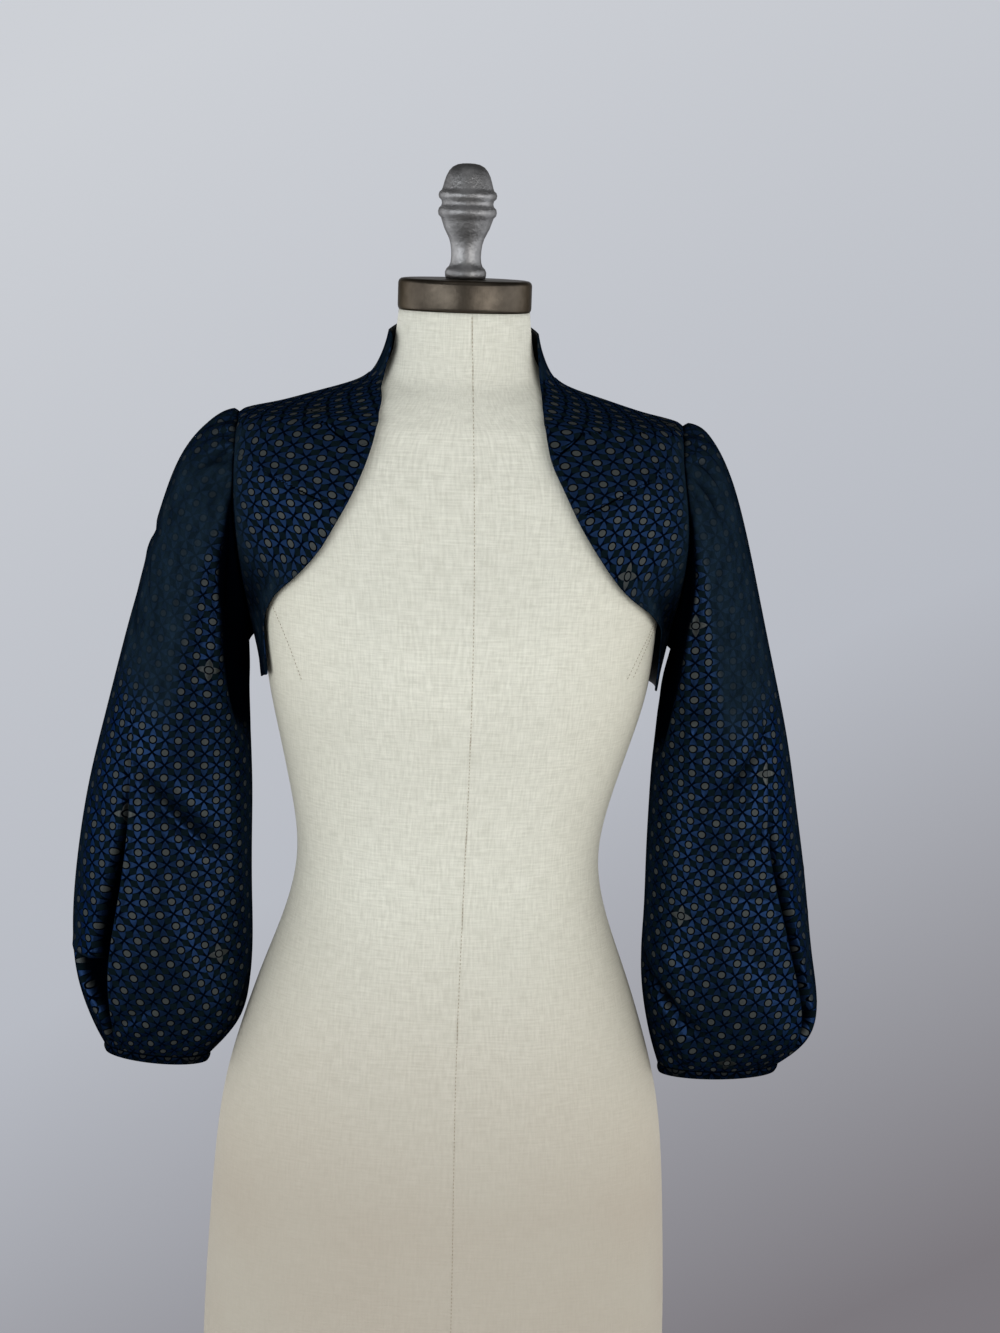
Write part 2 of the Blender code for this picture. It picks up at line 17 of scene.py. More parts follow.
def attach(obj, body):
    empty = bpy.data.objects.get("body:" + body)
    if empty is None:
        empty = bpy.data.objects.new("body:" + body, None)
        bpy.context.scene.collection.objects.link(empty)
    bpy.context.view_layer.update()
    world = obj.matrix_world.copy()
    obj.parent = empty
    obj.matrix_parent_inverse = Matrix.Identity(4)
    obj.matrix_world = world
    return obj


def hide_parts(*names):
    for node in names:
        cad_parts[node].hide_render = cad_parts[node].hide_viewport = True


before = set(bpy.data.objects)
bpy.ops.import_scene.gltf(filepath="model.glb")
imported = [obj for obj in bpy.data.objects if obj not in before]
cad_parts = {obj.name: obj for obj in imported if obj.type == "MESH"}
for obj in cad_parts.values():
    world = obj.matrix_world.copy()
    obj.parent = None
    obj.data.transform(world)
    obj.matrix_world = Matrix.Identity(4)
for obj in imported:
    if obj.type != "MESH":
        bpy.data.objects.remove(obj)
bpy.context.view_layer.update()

bl_info = {
    "name": "Bolero Shrug on a Dress Form",
    "version": (1, 0, 0),
    "blender": (4, 5, 0),
    "location": "View3D > Sidebar > Bolero",
    "description": "Builds the bolero, its dress form and a plain studio over the packed frame",
    "category": "Add Mesh",
}

MM = 0.001
TURN = 2.0 * math.pi
BODY = "root"


def table(kind, rows):
    """Rows of numbers with their columns named."""
    return tuple(kind(*row) for row in rows)


# Level sections of the dress form, bottom to top. Front and back are depths from the side line,
# and the bust stands a little to the wearer's left.
Section = namedtuple("Section", "height half_width front back power shift")
FORM_SECTIONS = table(Section, (
    (540, 184, 100, 112, 2.30, 0), (600, 184, 100, 114, 2.30, 0), (680, 181, 102, 119, 2.30, 0),
    (745, 177, 104, 124, 2.30, 0), (800, 170, 105, 123, 2.25, 0), (850, 157, 103, 116, 2.20, 0),
    (895, 142, 99, 104, 2.15, 0), (940, 126, 93, 92, 2.10, 0), (985, 118, 90, 84, 2.10, 0),
    (1035, 125, 95, 85, 2.15, 1), (1085, 138, 108, 89, 2.20, 3), (1125, 147, 120, 94, 2.30, 4),
    (1160, 151, 123, 98, 2.35, 4), (1200, 155, 115, 101, 2.40, 4), (1245, 160, 99, 102, 2.45, 3),
    (1285, 165, 84, 97, 2.40, 1), (1306, 165.5, 75, 91, 2.25, 0), (1319, 161.5, 70, 86, 2.10, 0),
    (1327, 147, 67, 82, 1.95, 0), (1335, 126, 64, 78, 1.80, 0), (1343.2, 102, 61, 74, 1.70, 0),
    (1350, 82, 58, 69, 1.65, 0), (1358, 66, 55, 64, 1.70, 0), (1371, 56, 52.5, 57, 1.90, 0),
    (1388, 52, 51, 53, 2.00, 0), (1408, 50, 50, 50, 2.00, 0),
))

# Level sections of the worn body of the garment, at the middle of its cloth.
GARMENT_SECTIONS = table(Section, (
    (1105, 149.5, 120, 96, 2.30, 5), (1130, 154, 125, 99.5, 2.30, 5), (1160, 156, 127.5, 102.5, 2.35, 5),
    (1200, 161, 120, 106, 2.40, 5), (1245, 166, 105, 107, 2.45, 4), (1285, 170, 91, 102, 2.40, 1),
    (1308, 170.5, 82, 96, 2.25, 0), (1320.5, 168.5, 76.5, 91, 2.15, 0), (1327.5, 158, 73, 87, 2.00, 0),
    (1334, 134, 69, 83, 1.85, 0), (1343.5, 105, 65.5, 78, 1.75, 0), (1350.5, 85, 63, 74, 1.70, 0),
    (1358, 71.5, 61.5, 70, 1.75, 0), (1371, 63, 60, 65, 1.90, 0), (1386, 58, 58, 61.5, 2.00, 0),
    (1408, 54.5, 56.5, 58.5, 2.00, 0),
))
SIDES = ("right", "left")
SIDE_SIGN = {"left": 1.0, "right": -1.0}

# The armhole seam, once round from the shoulder tip by way of the front.
Around = namedtuple("Around", "x y z")
ARMHOLE = table(Around, (
    (170.5, 2, 1326.5), (170.5, -34, 1304), (173, -46, 1258), (168, -38, 1204), (158, 3, 1157),
    (163, 42, 1204), (168, 50, 1258), (169.5, 38, 1304),
))

# The front edge on the body's surface. Near the hem and at the neck it is given by the angle round
# from the side and the height, and between them by its distance from the middle.
Edge = namedtuple("Edge", "angle height")
Across = namedtuple("Across", "x height")
EDGE_LOW = {
    "right": table(Edge, (
        (0, 1122), (9, 1125), (17, 1129), (20.3, 1131.5), (20.4, 1140), (19.4, 1152), (19.3, 1166),
    )),
    "left": table(Edge, (
        (0, 1122), (5, 1122.5), (9, 1123.5), (11, 1125.5), (11.2, 1137), (11.2, 1152), (12.2, 1166),
    )),
}
EDGE_ACROSS = {
    "right": table(Across, (
        (143, 1178), (132.7, 1197), (122, 1207.5), (110.3, 1220), (100.5, 1232.5), (91.8, 1247.5),
        (84.3, 1261), (73.3, 1284), (68.3, 1297), (64.6, 1309), (61.8, 1321.5), (60.2, 1333),
        (59.2, 1345),
    )),
    "left": table(Across, (
        (154.5, 1180), (149.5, 1187), (132.5, 1202), (118.5, 1217.5), (105, 1236.5), (93, 1255.5),
        (83.7, 1273), (76, 1288), (71, 1298), (66.3, 1314), (63.6, 1328), (61.9, 1338.5), (60.9, 1348),
    )),
}
EDGE_NECK = {
    "right": table(Edge, ((30, 1360.5), (25.5, 1371), (23.5, 1382), (19, 1389), (9, 1392), (0, 1392))),
    "left": table(Edge, ((33.5, 1356.5), (22, 1371), (14.5, 1382), (7.5, 1389), (0, 1392))),
}

# Darts of each front: where each starts and ends on the body, and how much the print jumps at its start.
Dart = namedtuple("Dart", "angle_from height_from angle_to height_to jump")
DARTS = {
    "right": table(Dart, (
        (22, 1299, 56.5, 1268, 4), (54, 1324, 64.5, 1310, 2.5),
    )),
    "left": table(Dart, (
        (30, 1297, 60.5, 1265, 4), (58, 1323, 66, 1308.5, 2.5),
    )),
}
DART_WIDTH = 1.6 * MM
DART_DEPTH = 1.3 * MM
DART_RIDGE = 0.7 * MM
DART_RIDGE_AT = 3.4 * MM
DART_RIDGE_WIDTH = 1.6 * DART_WIDTH
DART_JUMP_SOFT = 0.4 * MM
DART_JUMP_REACH = 60.0 * MM
DART_STEPS = 40

# Heights, shares and sizes of the back and the collar
BACK_HEM_MIDDLE = 1128 * MM
SIDE_HEM = 1122 * MM
NECK_POINT = 1359 * MM
BACK_NECK_MIDDLE = 1367 * MM
COLLAR_TOP_SIDE = 1392 * MM
COLLAR_TOP_BACK = 1402 * MM
BACK_SIDE_SHARE = 1.0 / 6.0
BACK_SHOULDER_SHARE = 0.5
BACK_LENGTH = 240 * MM
COLLAR_HEIGHT = 34 * MM
COLLAR_DIP = 0.8 * MM
COLLAR_DIP_WIDTH = 0.08

# Sleeve rings below the armhole: outermost and innermost points, depth to the front and to the back.
Ring = namedtuple("Ring", "outer_x outer_z inner_x inner_z front back")
SLEEVE_RINGS = {
    "right": table(Ring, (
        (188, 1321, 160, 1147, 50, 54), (206, 1303, 159.5, 1134, 52, 55), (225, 1262, 159, 1116, 52, 55),
        (240.5, 1206, 158, 1093, 51, 54), (255.5, 1146, 156.5, 1064, 49, 53),
        (269, 1089, 155, 1030, 49, 53), (281, 1035, 154.5, 985, 51, 54), (289, 980, 153.5, 945, 53, 55),
        (292.5, 912, 152.5, 902, 55, 56), (287.5, 874, 154.5, 872, 53, 54),
        (275.5, 841, 164, 842, 44, 45), (267, 824, 184, 818, 28, 29),
    )),
    "left": table(Ring, (
        (188, 1321, 171, 1147, 50, 54), (202, 1301, 167.5, 1132, 52, 55), (217, 1262, 162, 1113, 52, 55),
        (232, 1205, 159.5, 1090, 51, 54), (246, 1148, 157.5, 1062, 49, 53),
        (260, 1090, 156.5, 1030, 49, 53), (271, 1030, 156, 988, 51, 54), (280.5, 972, 156, 945, 53, 55),
        (289, 912, 155.5, 902, 55, 56), (294.5, 874, 159, 870, 54, 55), (289, 847, 165, 843, 46, 46),
        (266, 825, 172, 821, 28, 29),
    )),
}

# A sleeve's length and radius for its folds, in millimetres, and first guesses for laying it flat
SLEEVE_LENGTH = 520.0
SLEEVE_RADIUS = 60.0
SLEEVE_SLANT = 1.03
BAND_RADIUS = 45 * MM

# The long pleat on the outer front of each sleeve: how far down, the angle from the outermost line,
# how deep the slot behind its fold is, how far the fold lies over the slot, and how wide the slot is.
Pleat = namedtuple("Pleat", "along angle depth over width")
PLEAT = {
    "right": table(Pleat, (
        (0.00, 50, 0, 0, 6), (0.38, 50, 0, 0, 6), (0.46, 57, 1.6, 0.5, 6), (0.55, 64, 4.0, 1.5, 7),
        (0.64, 66, 12.0, 3.0, 11), (0.72, 64, 20.0, 4.0, 16), (0.82, 58, 21.0, 4.0, 17),
        (0.92, 51, 16.0, 3.0, 15), (1.00, 42, 2.0, 0, 10),
    )),
    "left": table(Pleat, (
        (0.00, 46, 0, 0, 6), (0.36, 46, 0, 0, 6), (0.46, 49, 1.4, 0.5, 6), (0.58, 56, 3.5, 1.5, 8),
        (0.68, 52, 11.0, 3.0, 12), (0.76, 45, 16.0, 3.5, 14), (0.84, 40, 16.0, 3.5, 14),
        (0.92, 38, 12.0, 2.5, 13), (1.00, 40, 2.0, 0, 10),
    )),
}
PLEAT_MIDDLE = math.radians(50.0)
PLEAT_RIM = 0.9
PLEAT_RIM_AT = 2.0
PLEAT_RIM_WIDTH = 2.6
PLEAT_RIM_FULL = 3.0
PLEAT_LEAN_WIDTH = 0.8
PLEAT_SLOT = (0.0, 0.14, 0.34, 0.95)
PLEAT_SLIDE = (0.0, 0.12, 0.14, 0.50)
FOLDS_ALONG = (0.0, 0.03, 0.955, 1.0)

# Where the outer panel turns in below the pleat's widest place: a level lip with a deep corner under it.
Corner = namedtuple("Corner", "angle_lip angle_end along_lip along_end depth lip")
CORNER = {
    "right": Corner(10, 46, 0.812, 0.955, 22, 2.5),
    "left": Corner(4, 34, 0.872, 0.965, 15, 2.0),
}
CORNER_FULL = 0.3
CORNER_SLOPE = math.radians(11.0)
CORNER_BY_PLEAT = -0.04
LIP_ABOVE = 0.006
LIP_HEIGHT = 0.010
LIP_TURN = (math.radians(4.0), math.radians(24.0))
LIP_BY_PLEAT = -0.10

# Creases of each sleeve, straight runs in angle and in distance along it. A depth under zero is a ridge.
Crease = namedtuple("Crease", "angle_from along_from angle_to along_to width depth")
SLEEVE_CREASES = {
    "right": table(Crease, (
        (64, 0.492, 136, 0.574, 4.5, 5.5), (74, 0.540, 120, 0.590, 5, 2.6),
        (70, 0.470, 128, 0.530, 8, -2.2), (-12, 0.212, 26, 0.198, 4, 1.7),
        (-20, 0.235, 34, 0.222, 6, -0.9), (56, 0.135, 60, 0.070, 4, 1.6),
        (70, 0.120, 74, 0.060, 6, -1.4), (30, 0.220, 50, 0.270, 4, -1.8), (10, 0.290, 44, 0.350, 9, 1.8),
        (112, 0.120, 112, 0.450, 9, -2.8), (104, 0.030, 150, 0.100, 19, 13),
        (135, 0.100, 160, 0.300, 16, 9), (50, 0.004, 42, 0.064, 3, 4.6), (57, 0.012, 40, 0.088, 3, 4.8),
        (34, 0.006, 27, 0.070, 3, 3.0), (70, 0.012, 64, 0.080, 3, 2.4), (18, 0.006, 14, 0.060, 3, 2.6),
        (142, 0.420, 150, 0.680, 12, -2.0), (92, 0.130, 104, 0.360, 12, 2.2),
        (84, 0.600, 96, 0.800, 13, -1.8), (108, 0.640, 128, 0.840, 10, 1.8),
        (56, 0.930, 92, 0.872, 6, 3.0), (70, 0.965, 116, 0.900, 6, 2.4),
        (110, 0.960, 140, 0.890, 7, 2.8), (124, 0.930, 150, 0.840, 8, -1.8),
        (160, 0.980, 172, 0.850, 7, 3.0), (20, 0.560, 46, 0.620, 7, 1.6), (16, 0.700, 40, 0.740, 6, 1.2),
        (225, 0.520, 292, 0.610, 8, 5.0), (236, 0.570, 280, 0.640, 6, 2.6),
        (215, 0.090, 232, 0.400, 12, -2.2), (255, 0.130, 264, 0.380, 12, 2.0),
        (300, 0.740, 340, 0.860, 8, 4.5), (230, 0.960, 262, 0.880, 7, 3.0),
        (290, 0.960, 312, 0.880, 7, 2.6),
    )),
    "left": table(Crease, (
        (102, 0.500, 44, 0.420, 4.5, 4.8), (92, 0.520, 56, 0.480, 4, 2.4),
        (110, 0.480, 60, 0.400, 8, -2.0), (90, 0.600, 54, 0.560, 5, 3.4),
        (96, 0.580, 62, 0.535, 6, -1.6), (84, 0.660, 58, 0.680, 5, 2.2), (130, 0.300, 96, 0.330, 5, 2.4),
        (112, 0.120, 112, 0.430, 9, -2.8), (106, 0.025, 148, 0.090, 12, 11),
        (142, 0.080, 162, 0.300, 12, 11), (46, 0.004, 37, 0.095, 3, 3.8), (57, 0.010, 50, 0.110, 3, 4.2),
        (32, 0.006, 25, 0.075, 3, 3.4), (68, 0.012, 63, 0.075, 3, 2.2), (16, 0.006, 13, 0.060, 3, 2.4),
        (110, 0.330, 104, 0.560, 9, -2.6), (100, 0.600, 94, 0.900, 9, -2.4),
        (76, 0.120, 84, 0.360, 12, 2.0), (80, 0.740, 60, 0.830, 7, 1.8), (52, 0.600, 14, 0.612, 4, 1.8),
        (46, 0.640, 10, 0.655, 4, -1.6), (44, 0.668, 12, 0.690, 4, 2.0), (42, 0.705, 10, 0.722, 4, -1.4),
        (40, 0.742, 12, 0.752, 4, 1.8), (38, 0.785, 10, 0.800, 4, 1.6), (36, 0.825, 12, 0.838, 4, -1.4),
        (170, 0.780, 106, 0.925, 7, 7.0), (150, 0.740, 120, 0.800, 8, -2.0),
        (134, 0.862, 121, 0.985, 5, -4.5), (150, 0.900, 140, 0.985, 6, 3.0),
        (112, 0.930, 104, 0.985, 6, 3.2), (90, 0.960, 62, 0.925, 6, 2.2),
        (225, 0.540, 288, 0.630, 8, 5.0), (240, 0.590, 284, 0.655, 6, 2.4),
        (210, 0.100, 228, 0.400, 12, -2.2), (252, 0.120, 262, 0.380, 12, 2.0),
        (296, 0.760, 336, 0.880, 8, 4.5), (232, 0.960, 260, 0.880, 7, 3.0),
    )),
}

# How each piece lies on the print: its grain's turn in degrees, and where it was cut.
Print = namedtuple("Print", "turn x y")
UNTURNED = Print(0, 0, 0)
PRINTS = {
    "front_right": Print(8, -10.3, 1.2),
    "front_left": Print(8, 107.6, 132.3),
    "back": UNTURNED,
    "sleeve_right": Print(9, 66, 30),
    "sleeve_left": Print(10, 53, 221),
}

# The sparse flowers' spacing in columns and rows of dots
FLOWER_COLUMNS = 6
FLOWER_ROWS = 12

# Where a sleeve lies in the body's shade: beyond these turns in degrees, at these shares of its length.
SHADE_ALONG = (0.03, 0.08, 0.12, 0.18, 0.25, 0.30)
SHADE_TURN = (76, 90, 108, 118, 137, 165)
SHADE_SOFT = 7.0
SHADE_END = (0.26, 0.36)
BAND_SHADE = 0.7

# Fold depths in millimetres that get painted shade, and where a painted sheen covers a sleeve's print: its
# turns in degrees, shares of its length, and how far it faces up at the head, where it covers less.
FOLD_SHADE = (1.5, 7.5)
SHEEN_TURN = (76.0, 92.0)
SHEEN_ALONG = (0.34, 0.44)
SHEEN_HEAD = (0.40, 0.60)
SHEEN_LESS = 0.6
SLEEVE_PAINTED_SHEEN = 0.85

# How far the cloth turns from the viewer where a painted sheen covers its print, and the petals' shine
SLEEVE_ASIDE = (0.42, 0.80)
BODY_ASIDE = (0.19, 0.46)
SLEEVE_SHINE = 0.90
BODY_SHINE = 0.40

# Gathers of the sleeve head
GATHER_FROM = math.radians(-62.0)
GATHER_TO = math.radians(84.0)
GATHER_COUNT = 9
GATHER_DEPTH = 1.8 * MM
GATHER_REACH = 0.055
GATHER_START = 0.012
GATHER_UNEVEN = 0.018

# The armhole seam's dip, and the narrow band at the sleeve's end
SEAM_DIP = 1.4 * MM
SEAM_DIP_WIDTH = 3.0 * MM
BINDING_HEIGHT = 6.0 * MM
BINDING_START = 0.4 * MM
BINDING_BEFORE = 0.985
BINDING_DROP = 0.65
BINDING_ROLL = 0.7 * MM

# Soft folds of the fronts and the back, on the body's surface. A depth under zero is a ridge.
FOLD_STEPS = 24
BodyFold = namedtuple("BodyFold", "angle_from height_from angle_to height_to width depth")
BACK_FOLDS = table(BodyFold, (
    (24, 1210, 62, 1150, 9, 1.8), (30, 1236, 70, 1196, 10, -1.4), (40, 1300, 84, 1316, 10, 1.5),
    (48, 1138, 52, 1190, 9, -1.2),
))
FRONT_FOLDS = {
    "right": table(BodyFold, (
        (28, 1290, 56, 1262, 7, -1.0), (22, 1262, 50, 1232, 9, 1.2), (24, 1226, 40, 1208, 8, -0.9),
        (30, 1330, 60, 1316, 8, 0.8),
    )),
    "left": table(BodyFold, (
        (32, 1288, 58, 1260, 7, -1.0), (24, 1256, 54, 1236, 9, 1.0), (26, 1232, 42, 1218, 8, -0.9),
        (34, 1328, 62, 1314, 8, 0.8),
    )),
}

# The form's own seams: the centre seam's distance to the wearer's left at each height, and the bust darts.
SeamPoint = namedtuple("SeamPoint", "height x")
CENTRE_SEAM = table(SeamPoint, (
    (540, 15), (657, 15), (817, 13), (924, 13.5), (1048, 15.5), (1173, 16), (1273, 13), (1345, 9.5),
    (1408, 6.5),
))
BUST_DARTS = {
    "right": table(Edge, ((24, 1188), (30, 1174), (36, 1156), (41, 1134))),
    "left": table(Edge, ((12, 1177), (22, 1159), (29, 1140))),
}
BUST_DART_DOUBLE = 4.0
STITCH_PITCH = 3.0 * MM
STITCH_LENGTH = 1.9 * MM
STITCH_WIDTH = 0.55 * MM
STITCH_LIFT = 0.15 * MM

# Turned outlines, radius and height, down the outer side, and the turns' steps.
Turned = namedtuple("Turned", "radius height")
CAP_OUTLINE = table(Turned, (
    (0, 1432), (46.5, 1432), (48.8, 1431.6), (50.3, 1430.4), (51, 1428.5), (51, 1411.5), (50.7, 1409.6),
    (49.8, 1408.3), (0, 1408.3),
))
FINIAL_OUTLINE = table(Turned, (
    (0, 1519), (4.5, 1518.8), (8.5, 1518), (12, 1516.2), (14.6, 1513.3), (16.6, 1509.5), (18, 1505.2),
    (19.2, 1500.6), (20, 1498.6), (21.6, 1497.2), (22.3, 1495), (21.8, 1492.8), (20, 1491), (19.5, 1489),
    (20, 1486.8), (21.8, 1485), (22.4, 1482.4), (21.8, 1479.8), (20, 1478), (18.9, 1474.8), (17.2, 1470),
    (15.2, 1466), (13.4, 1462.4), (12.2, 1458.4), (11.5, 1453.5), (11.3, 1449), (11.7, 1444.6),
    (12.8, 1441.6), (14.7, 1439.8), (15.8, 1437.2), (15.6, 1434.4), (15, 1432.3), (0, 1432.3),
))
POLE_OUTLINE = table(Turned, (
    (0, 539.7), (15, 539.7), (16, 538.7), (16, 47.3), (15, 46.3), (0, 46.3),
))
SOCKET_OUTLINE = table(Turned, (
    (0, 46), (25, 46), (27.4, 45.5), (29.2, 44.2), (30, 42.6), (36.4, 20.2), (36.6, 18.9), (36, 18.3),
    (0, 18.3),
))
BASE_OUTLINE = table(Turned, (
    (0, 18), (48, 18), (120, 15.6), (178, 13), (184.6, 11.8), (188.6, 9), (190, 6), (189.4, 1.6),
    (188, 0), (0, 0),
))
TURNED_STEPS = 96

# The camera stands a little to the wearer's left, looks down and leans.
CAMERA_PLACE = (0.0361, -2.2738, 1.50)
CAMERA_DOWN = math.radians(9.13)
CAMERA_LEAN = math.radians(1.9)
CAMERA_LENS = 80.08
FLOOR_RADIUS = 1.3

# Grids of the cloth pieces, columns by rows
FRONT_GRID = (150, 190)
BACK_GRID = (160, 110)
COLLAR_GRID = (140, 24)
SLEEVE_GRID = (210, 180)
BAND_GRID = (160, 6)
TORSO_GRID = (180, 240)
LAYOUT_GRID = (25, 27)
LAYOUT_ROUNDS = 2600
FRONT_ROUNDS = 110
FAR_FROM_EDGE = 0.05


def tint(name, description, default):
    """A colour among the settings."""
    return FloatVectorProperty(name=name, description=description, subtype="COLOR", default=default)


def amount(name, description, default, unit="LENGTH"):
    """A length or a power among the settings."""
    return FloatProperty(name=name, description=description, default=default, unit=unit)


class BoleroCloth(bpy.types.PropertyGroup):
    """Sizes and colours of the printed satin."""

    thickness: amount("Cloth thickness", "Thickness of the satin with its backing", 1.2 * MM)
    repeat: amount("Repeat", "Side of the square repeat, with dots at its corners and middle", 19.5 * MM)
    ground: tint("Ground", "Colour of the satin ground", (0.0004, 0.0014, 0.0040))
    petal: tint("Petals", "Colour of the petals round each dot", (0.0070, 0.0180, 0.0500))
    dot: tint("Dots", "Colour of the dots and the sparse flowers", (0.045, 0.050, 0.050))
    square: tint("Squares", "Colour of the small squares between the dots", (0.0031, 0.0068, 0.0091))
    # Painted sheen: the dull grey-green that covers the print where the satin's reflection would show.
    painted_sheen: tint("Veil", "Colour of the satin where its print fades", (0.0062, 0.0132, 0.0215))
    inside: tint("Wrong side", "Colour of the cloth's wrong side", (0.0018, 0.0026, 0.0045))


class BoleroForm(bpy.types.PropertyGroup):
    """Sizes and colours of the dress form and its stand."""

    linen: tint("Linen", "Colour of the form's cover", (0.700, 0.700, 0.610))
    slub: tint("Slubs", "Colour of the cover's thicker threads", (0.775, 0.775, 0.690))
    # Aged linen is painted light: a warmer tint at the cover's sides, where warm light falls from the sides.
    painted_side_light: tint("Aged linen", "Colour of the cover where it has yellowed at the sides", (0.690, 0.640, 0.490))
    # Worn linen is painted shade: the colour the cover darkens to towards the bottom, where less light falls.
    worn: tint("Worn linen", "Colour that the cover tends to at the hip", (0.430, 0.375, 0.310))
    thread: tint("Thread", "Colour of the seam thread", (0.300, 0.250, 0.180))
    weave: amount("Weave", "Distance between the cover's threads", 0.75 * MM)
    cap: tint("Cap", "Colour of the neck cap's metal", (0.078, 0.066, 0.053))
    finial: tint("Finial", "Colour of the finial's metal", (0.250, 0.250, 0.256))
    stand: tint("Stand", "Colour of the stand's paint", (0.018, 0.018, 0.019))


class BoleroStage(bpy.types.PropertyGroup):
    """Colours and lights of the plain studio."""

    floor: tint("Floor", "Colour of the floor", (0.540, 0.515, 0.480))
    wall_light: tint("Light wall", "Colour of the background at the upper left", (0.610, 0.630, 0.670))
    wall_middle: tint("Middle wall", "Colour of the background half way down", (0.480, 0.500, 0.550))
    wall_dark: tint("Dark wall", "Colour of the background at the lower right", (0.200, 0.188, 0.205))
    room: tint("Room", "Colour of what the front of the object faces", (0.300, 0.295, 0.285))
    side_walls: tint("Side walls", "Colour of the bright walls at the sides", (1.50, 1.51, 1.52))
    ceiling: tint("Ceiling", "Colour of the room overhead", (0.120, 0.120, 0.120))
    right: amount("Right window", "Power of the soft light on the wearer's right", 30.0, "POWER")
    left: amount("Left window", "Power of the soft light on the wearer's left", 30.0, "POWER")
    top: amount("Top light", "Power of the soft light overhead", 3.0, "POWER")


def spline(knots, values, where):
    """Natural cubic spline through rows of values, read at any array of places."""
    knots = np.asarray(knots, float)
    values = np.asarray(values, float)
    where = np.asarray(where, float)
    steps = np.diff(knots)
    slopes = np.diff(values, axis=0) / steps[:, None]
    size = len(knots)
    system = np.eye(size)
    right = np.zeros_like(values)
    for i in range(1, size - 1):
        system[i, i - 1] = steps[i - 1]
        system[i, i] = 2.0 * (steps[i - 1] + steps[i])
        system[i, i + 1] = steps[i]
        right[i] = 6.0 * (slopes[i] - slopes[i - 1])
    bend = np.linalg.solve(system, right)
    span = np.clip(np.searchsorted(knots, where, side="right") - 1, 0, size - 2)
    width = steps[span][..., None]
    near = where[..., None] - knots[span][..., None]
    far = width - near
    curve = (bend[span] * far**3 + bend[span + 1] * near**3) / (6.0 * width)
    low = (values[span] / width - bend[span] * width / 6.0) * far
    high = (values[span + 1] / width - bend[span + 1] * width / 6.0) * near
    return curve + low + high


def ramp(low, high, value):
    """Smooth step from 0 at low to 1 at high."""
    t = np.clip((value - low) / (high - low), 0.0, 1.0)
    return t * t * (3.0 - 2.0 * t)


def plateau(rise, full, until, end, value):
    """0 up to rise, 1 from full until the third place, and 0 again from the end on."""
    return ramp(rise, full, value) * (1.0 - ramp(until, end, value))


def ramp_line(low, high, value):
    """Straight step from 0 at low to 1 at high."""
    return np.clip((value - low) / (high - low), 0.0, 1.0)


def bell(value, width):
    """A bell curve, 1 at 0."""
    return np.exp(-((value / width) ** 2))


def running(steps):
    """Running totals of some steps, from 0."""
    return np.concatenate([[0.0], np.cumsum(steps)])


def wrapped(angle):
    """An angle brought to within half a turn of zero."""
    return np.mod(angle + math.pi, TURN) - math.pi


def unit(vectors):
    """Vectors brought to length 1."""
    return vectors / np.maximum(np.linalg.norm(vectors, axis=-1, keepdims=True), 1e-12)


class Hull:
    """A stack of level oval sections, read by the length along its side outline."""

    def __init__(self, sections):
        rows = np.array(sections, float)
        rows[:, [0, 1, 2, 3, 5]] *= MM
        steps = np.hypot(np.diff(rows[:, 0]), np.diff(rows[:, 1]))
        self.rows = rows
        self.knots = running(steps)
        self.length = self.knots[-1]
        self.fine = np.linspace(0.0, self.length, 2000)
        self.heights = spline(self.knots, rows, self.fine)[:, 0]

    def station(self, height):
        """The length along the side outline at a height."""
        return np.interp(height, self.heights, self.fine)

    def section(self, station):
        """The section at a length along the side outline."""
        return spline(self.knots, self.rows, station)

    def point(self, angle, station, side="left"):
        """A point of the surface: angle 0 is the side, -90 degrees the front, 90 the back."""
        row = self.section(station)
        height, half_width, front, back, power, shift = np.moveaxis(row, -1, 0)
        cos, sin = np.cos(angle), np.sin(angle)
        depth = np.where(sin < 0.0, front, back)
        x = half_width * np.sign(cos) * np.abs(cos) ** (2.0 / power) + shift * SIDE_SIGN[side]
        y = depth * np.sign(sin) * np.abs(sin) ** (2.0 / power)
        return np.stack([x, y, height], -1)

    def angle_at_depth(self, y, station):
        """The angle of the surface point that lies at depth y, on the near side."""
        row = self.section(station)
        depth = np.where(y < 0.0, row[..., 2], row[..., 3])
        share = np.clip(np.abs(y) / depth, 0.0, 1.0)
        return np.sign(y) * np.arcsin(share ** (row[..., 4] / 2.0))

    def outward(self, angle, station, side="left"):
        """Outward unit normals of the surface."""
        step = 1e-3
        across = self.point(angle + step, station, side) - self.point(angle - step, station, side)
        up = self.point(angle, station + step, side) - self.point(angle, station - step, side)
        return unit(np.cross(across, up))


FORM = Hull(FORM_SECTIONS)
GARMENT = Hull(GARMENT_SECTIONS)
BODY_RADIUS = 0.15
NECK_RADIUS = 0.06


def armhole(side, turn):
    """The armhole seam on the +X side, turn in radians from the shoulder tip by way of the front."""
    rows = np.array(ARMHOLE, float) * MM
    count = len(rows)
    ring = np.concatenate([rows[-4:], rows, rows[:5]])
    knots = np.arange(-4, count + 5) * TURN / count
    loop = spline(knots, ring, np.mod(turn, TURN))
    shift = GARMENT.section(GARMENT.station(loop[..., 2]))[..., 5]
    loop[..., 0] += shift * SIDE_SIGN[side]
    return loop


def armhole_on_body(side, turn):
    """The armhole in the body's own coordinates: angle and length up the side outline."""
    loop = armhole(side, turn)
    station = GARMENT.station(loop[..., 2])
    return np.stack([GARMENT.angle_at_depth(loop[..., 1], station), station], -1)


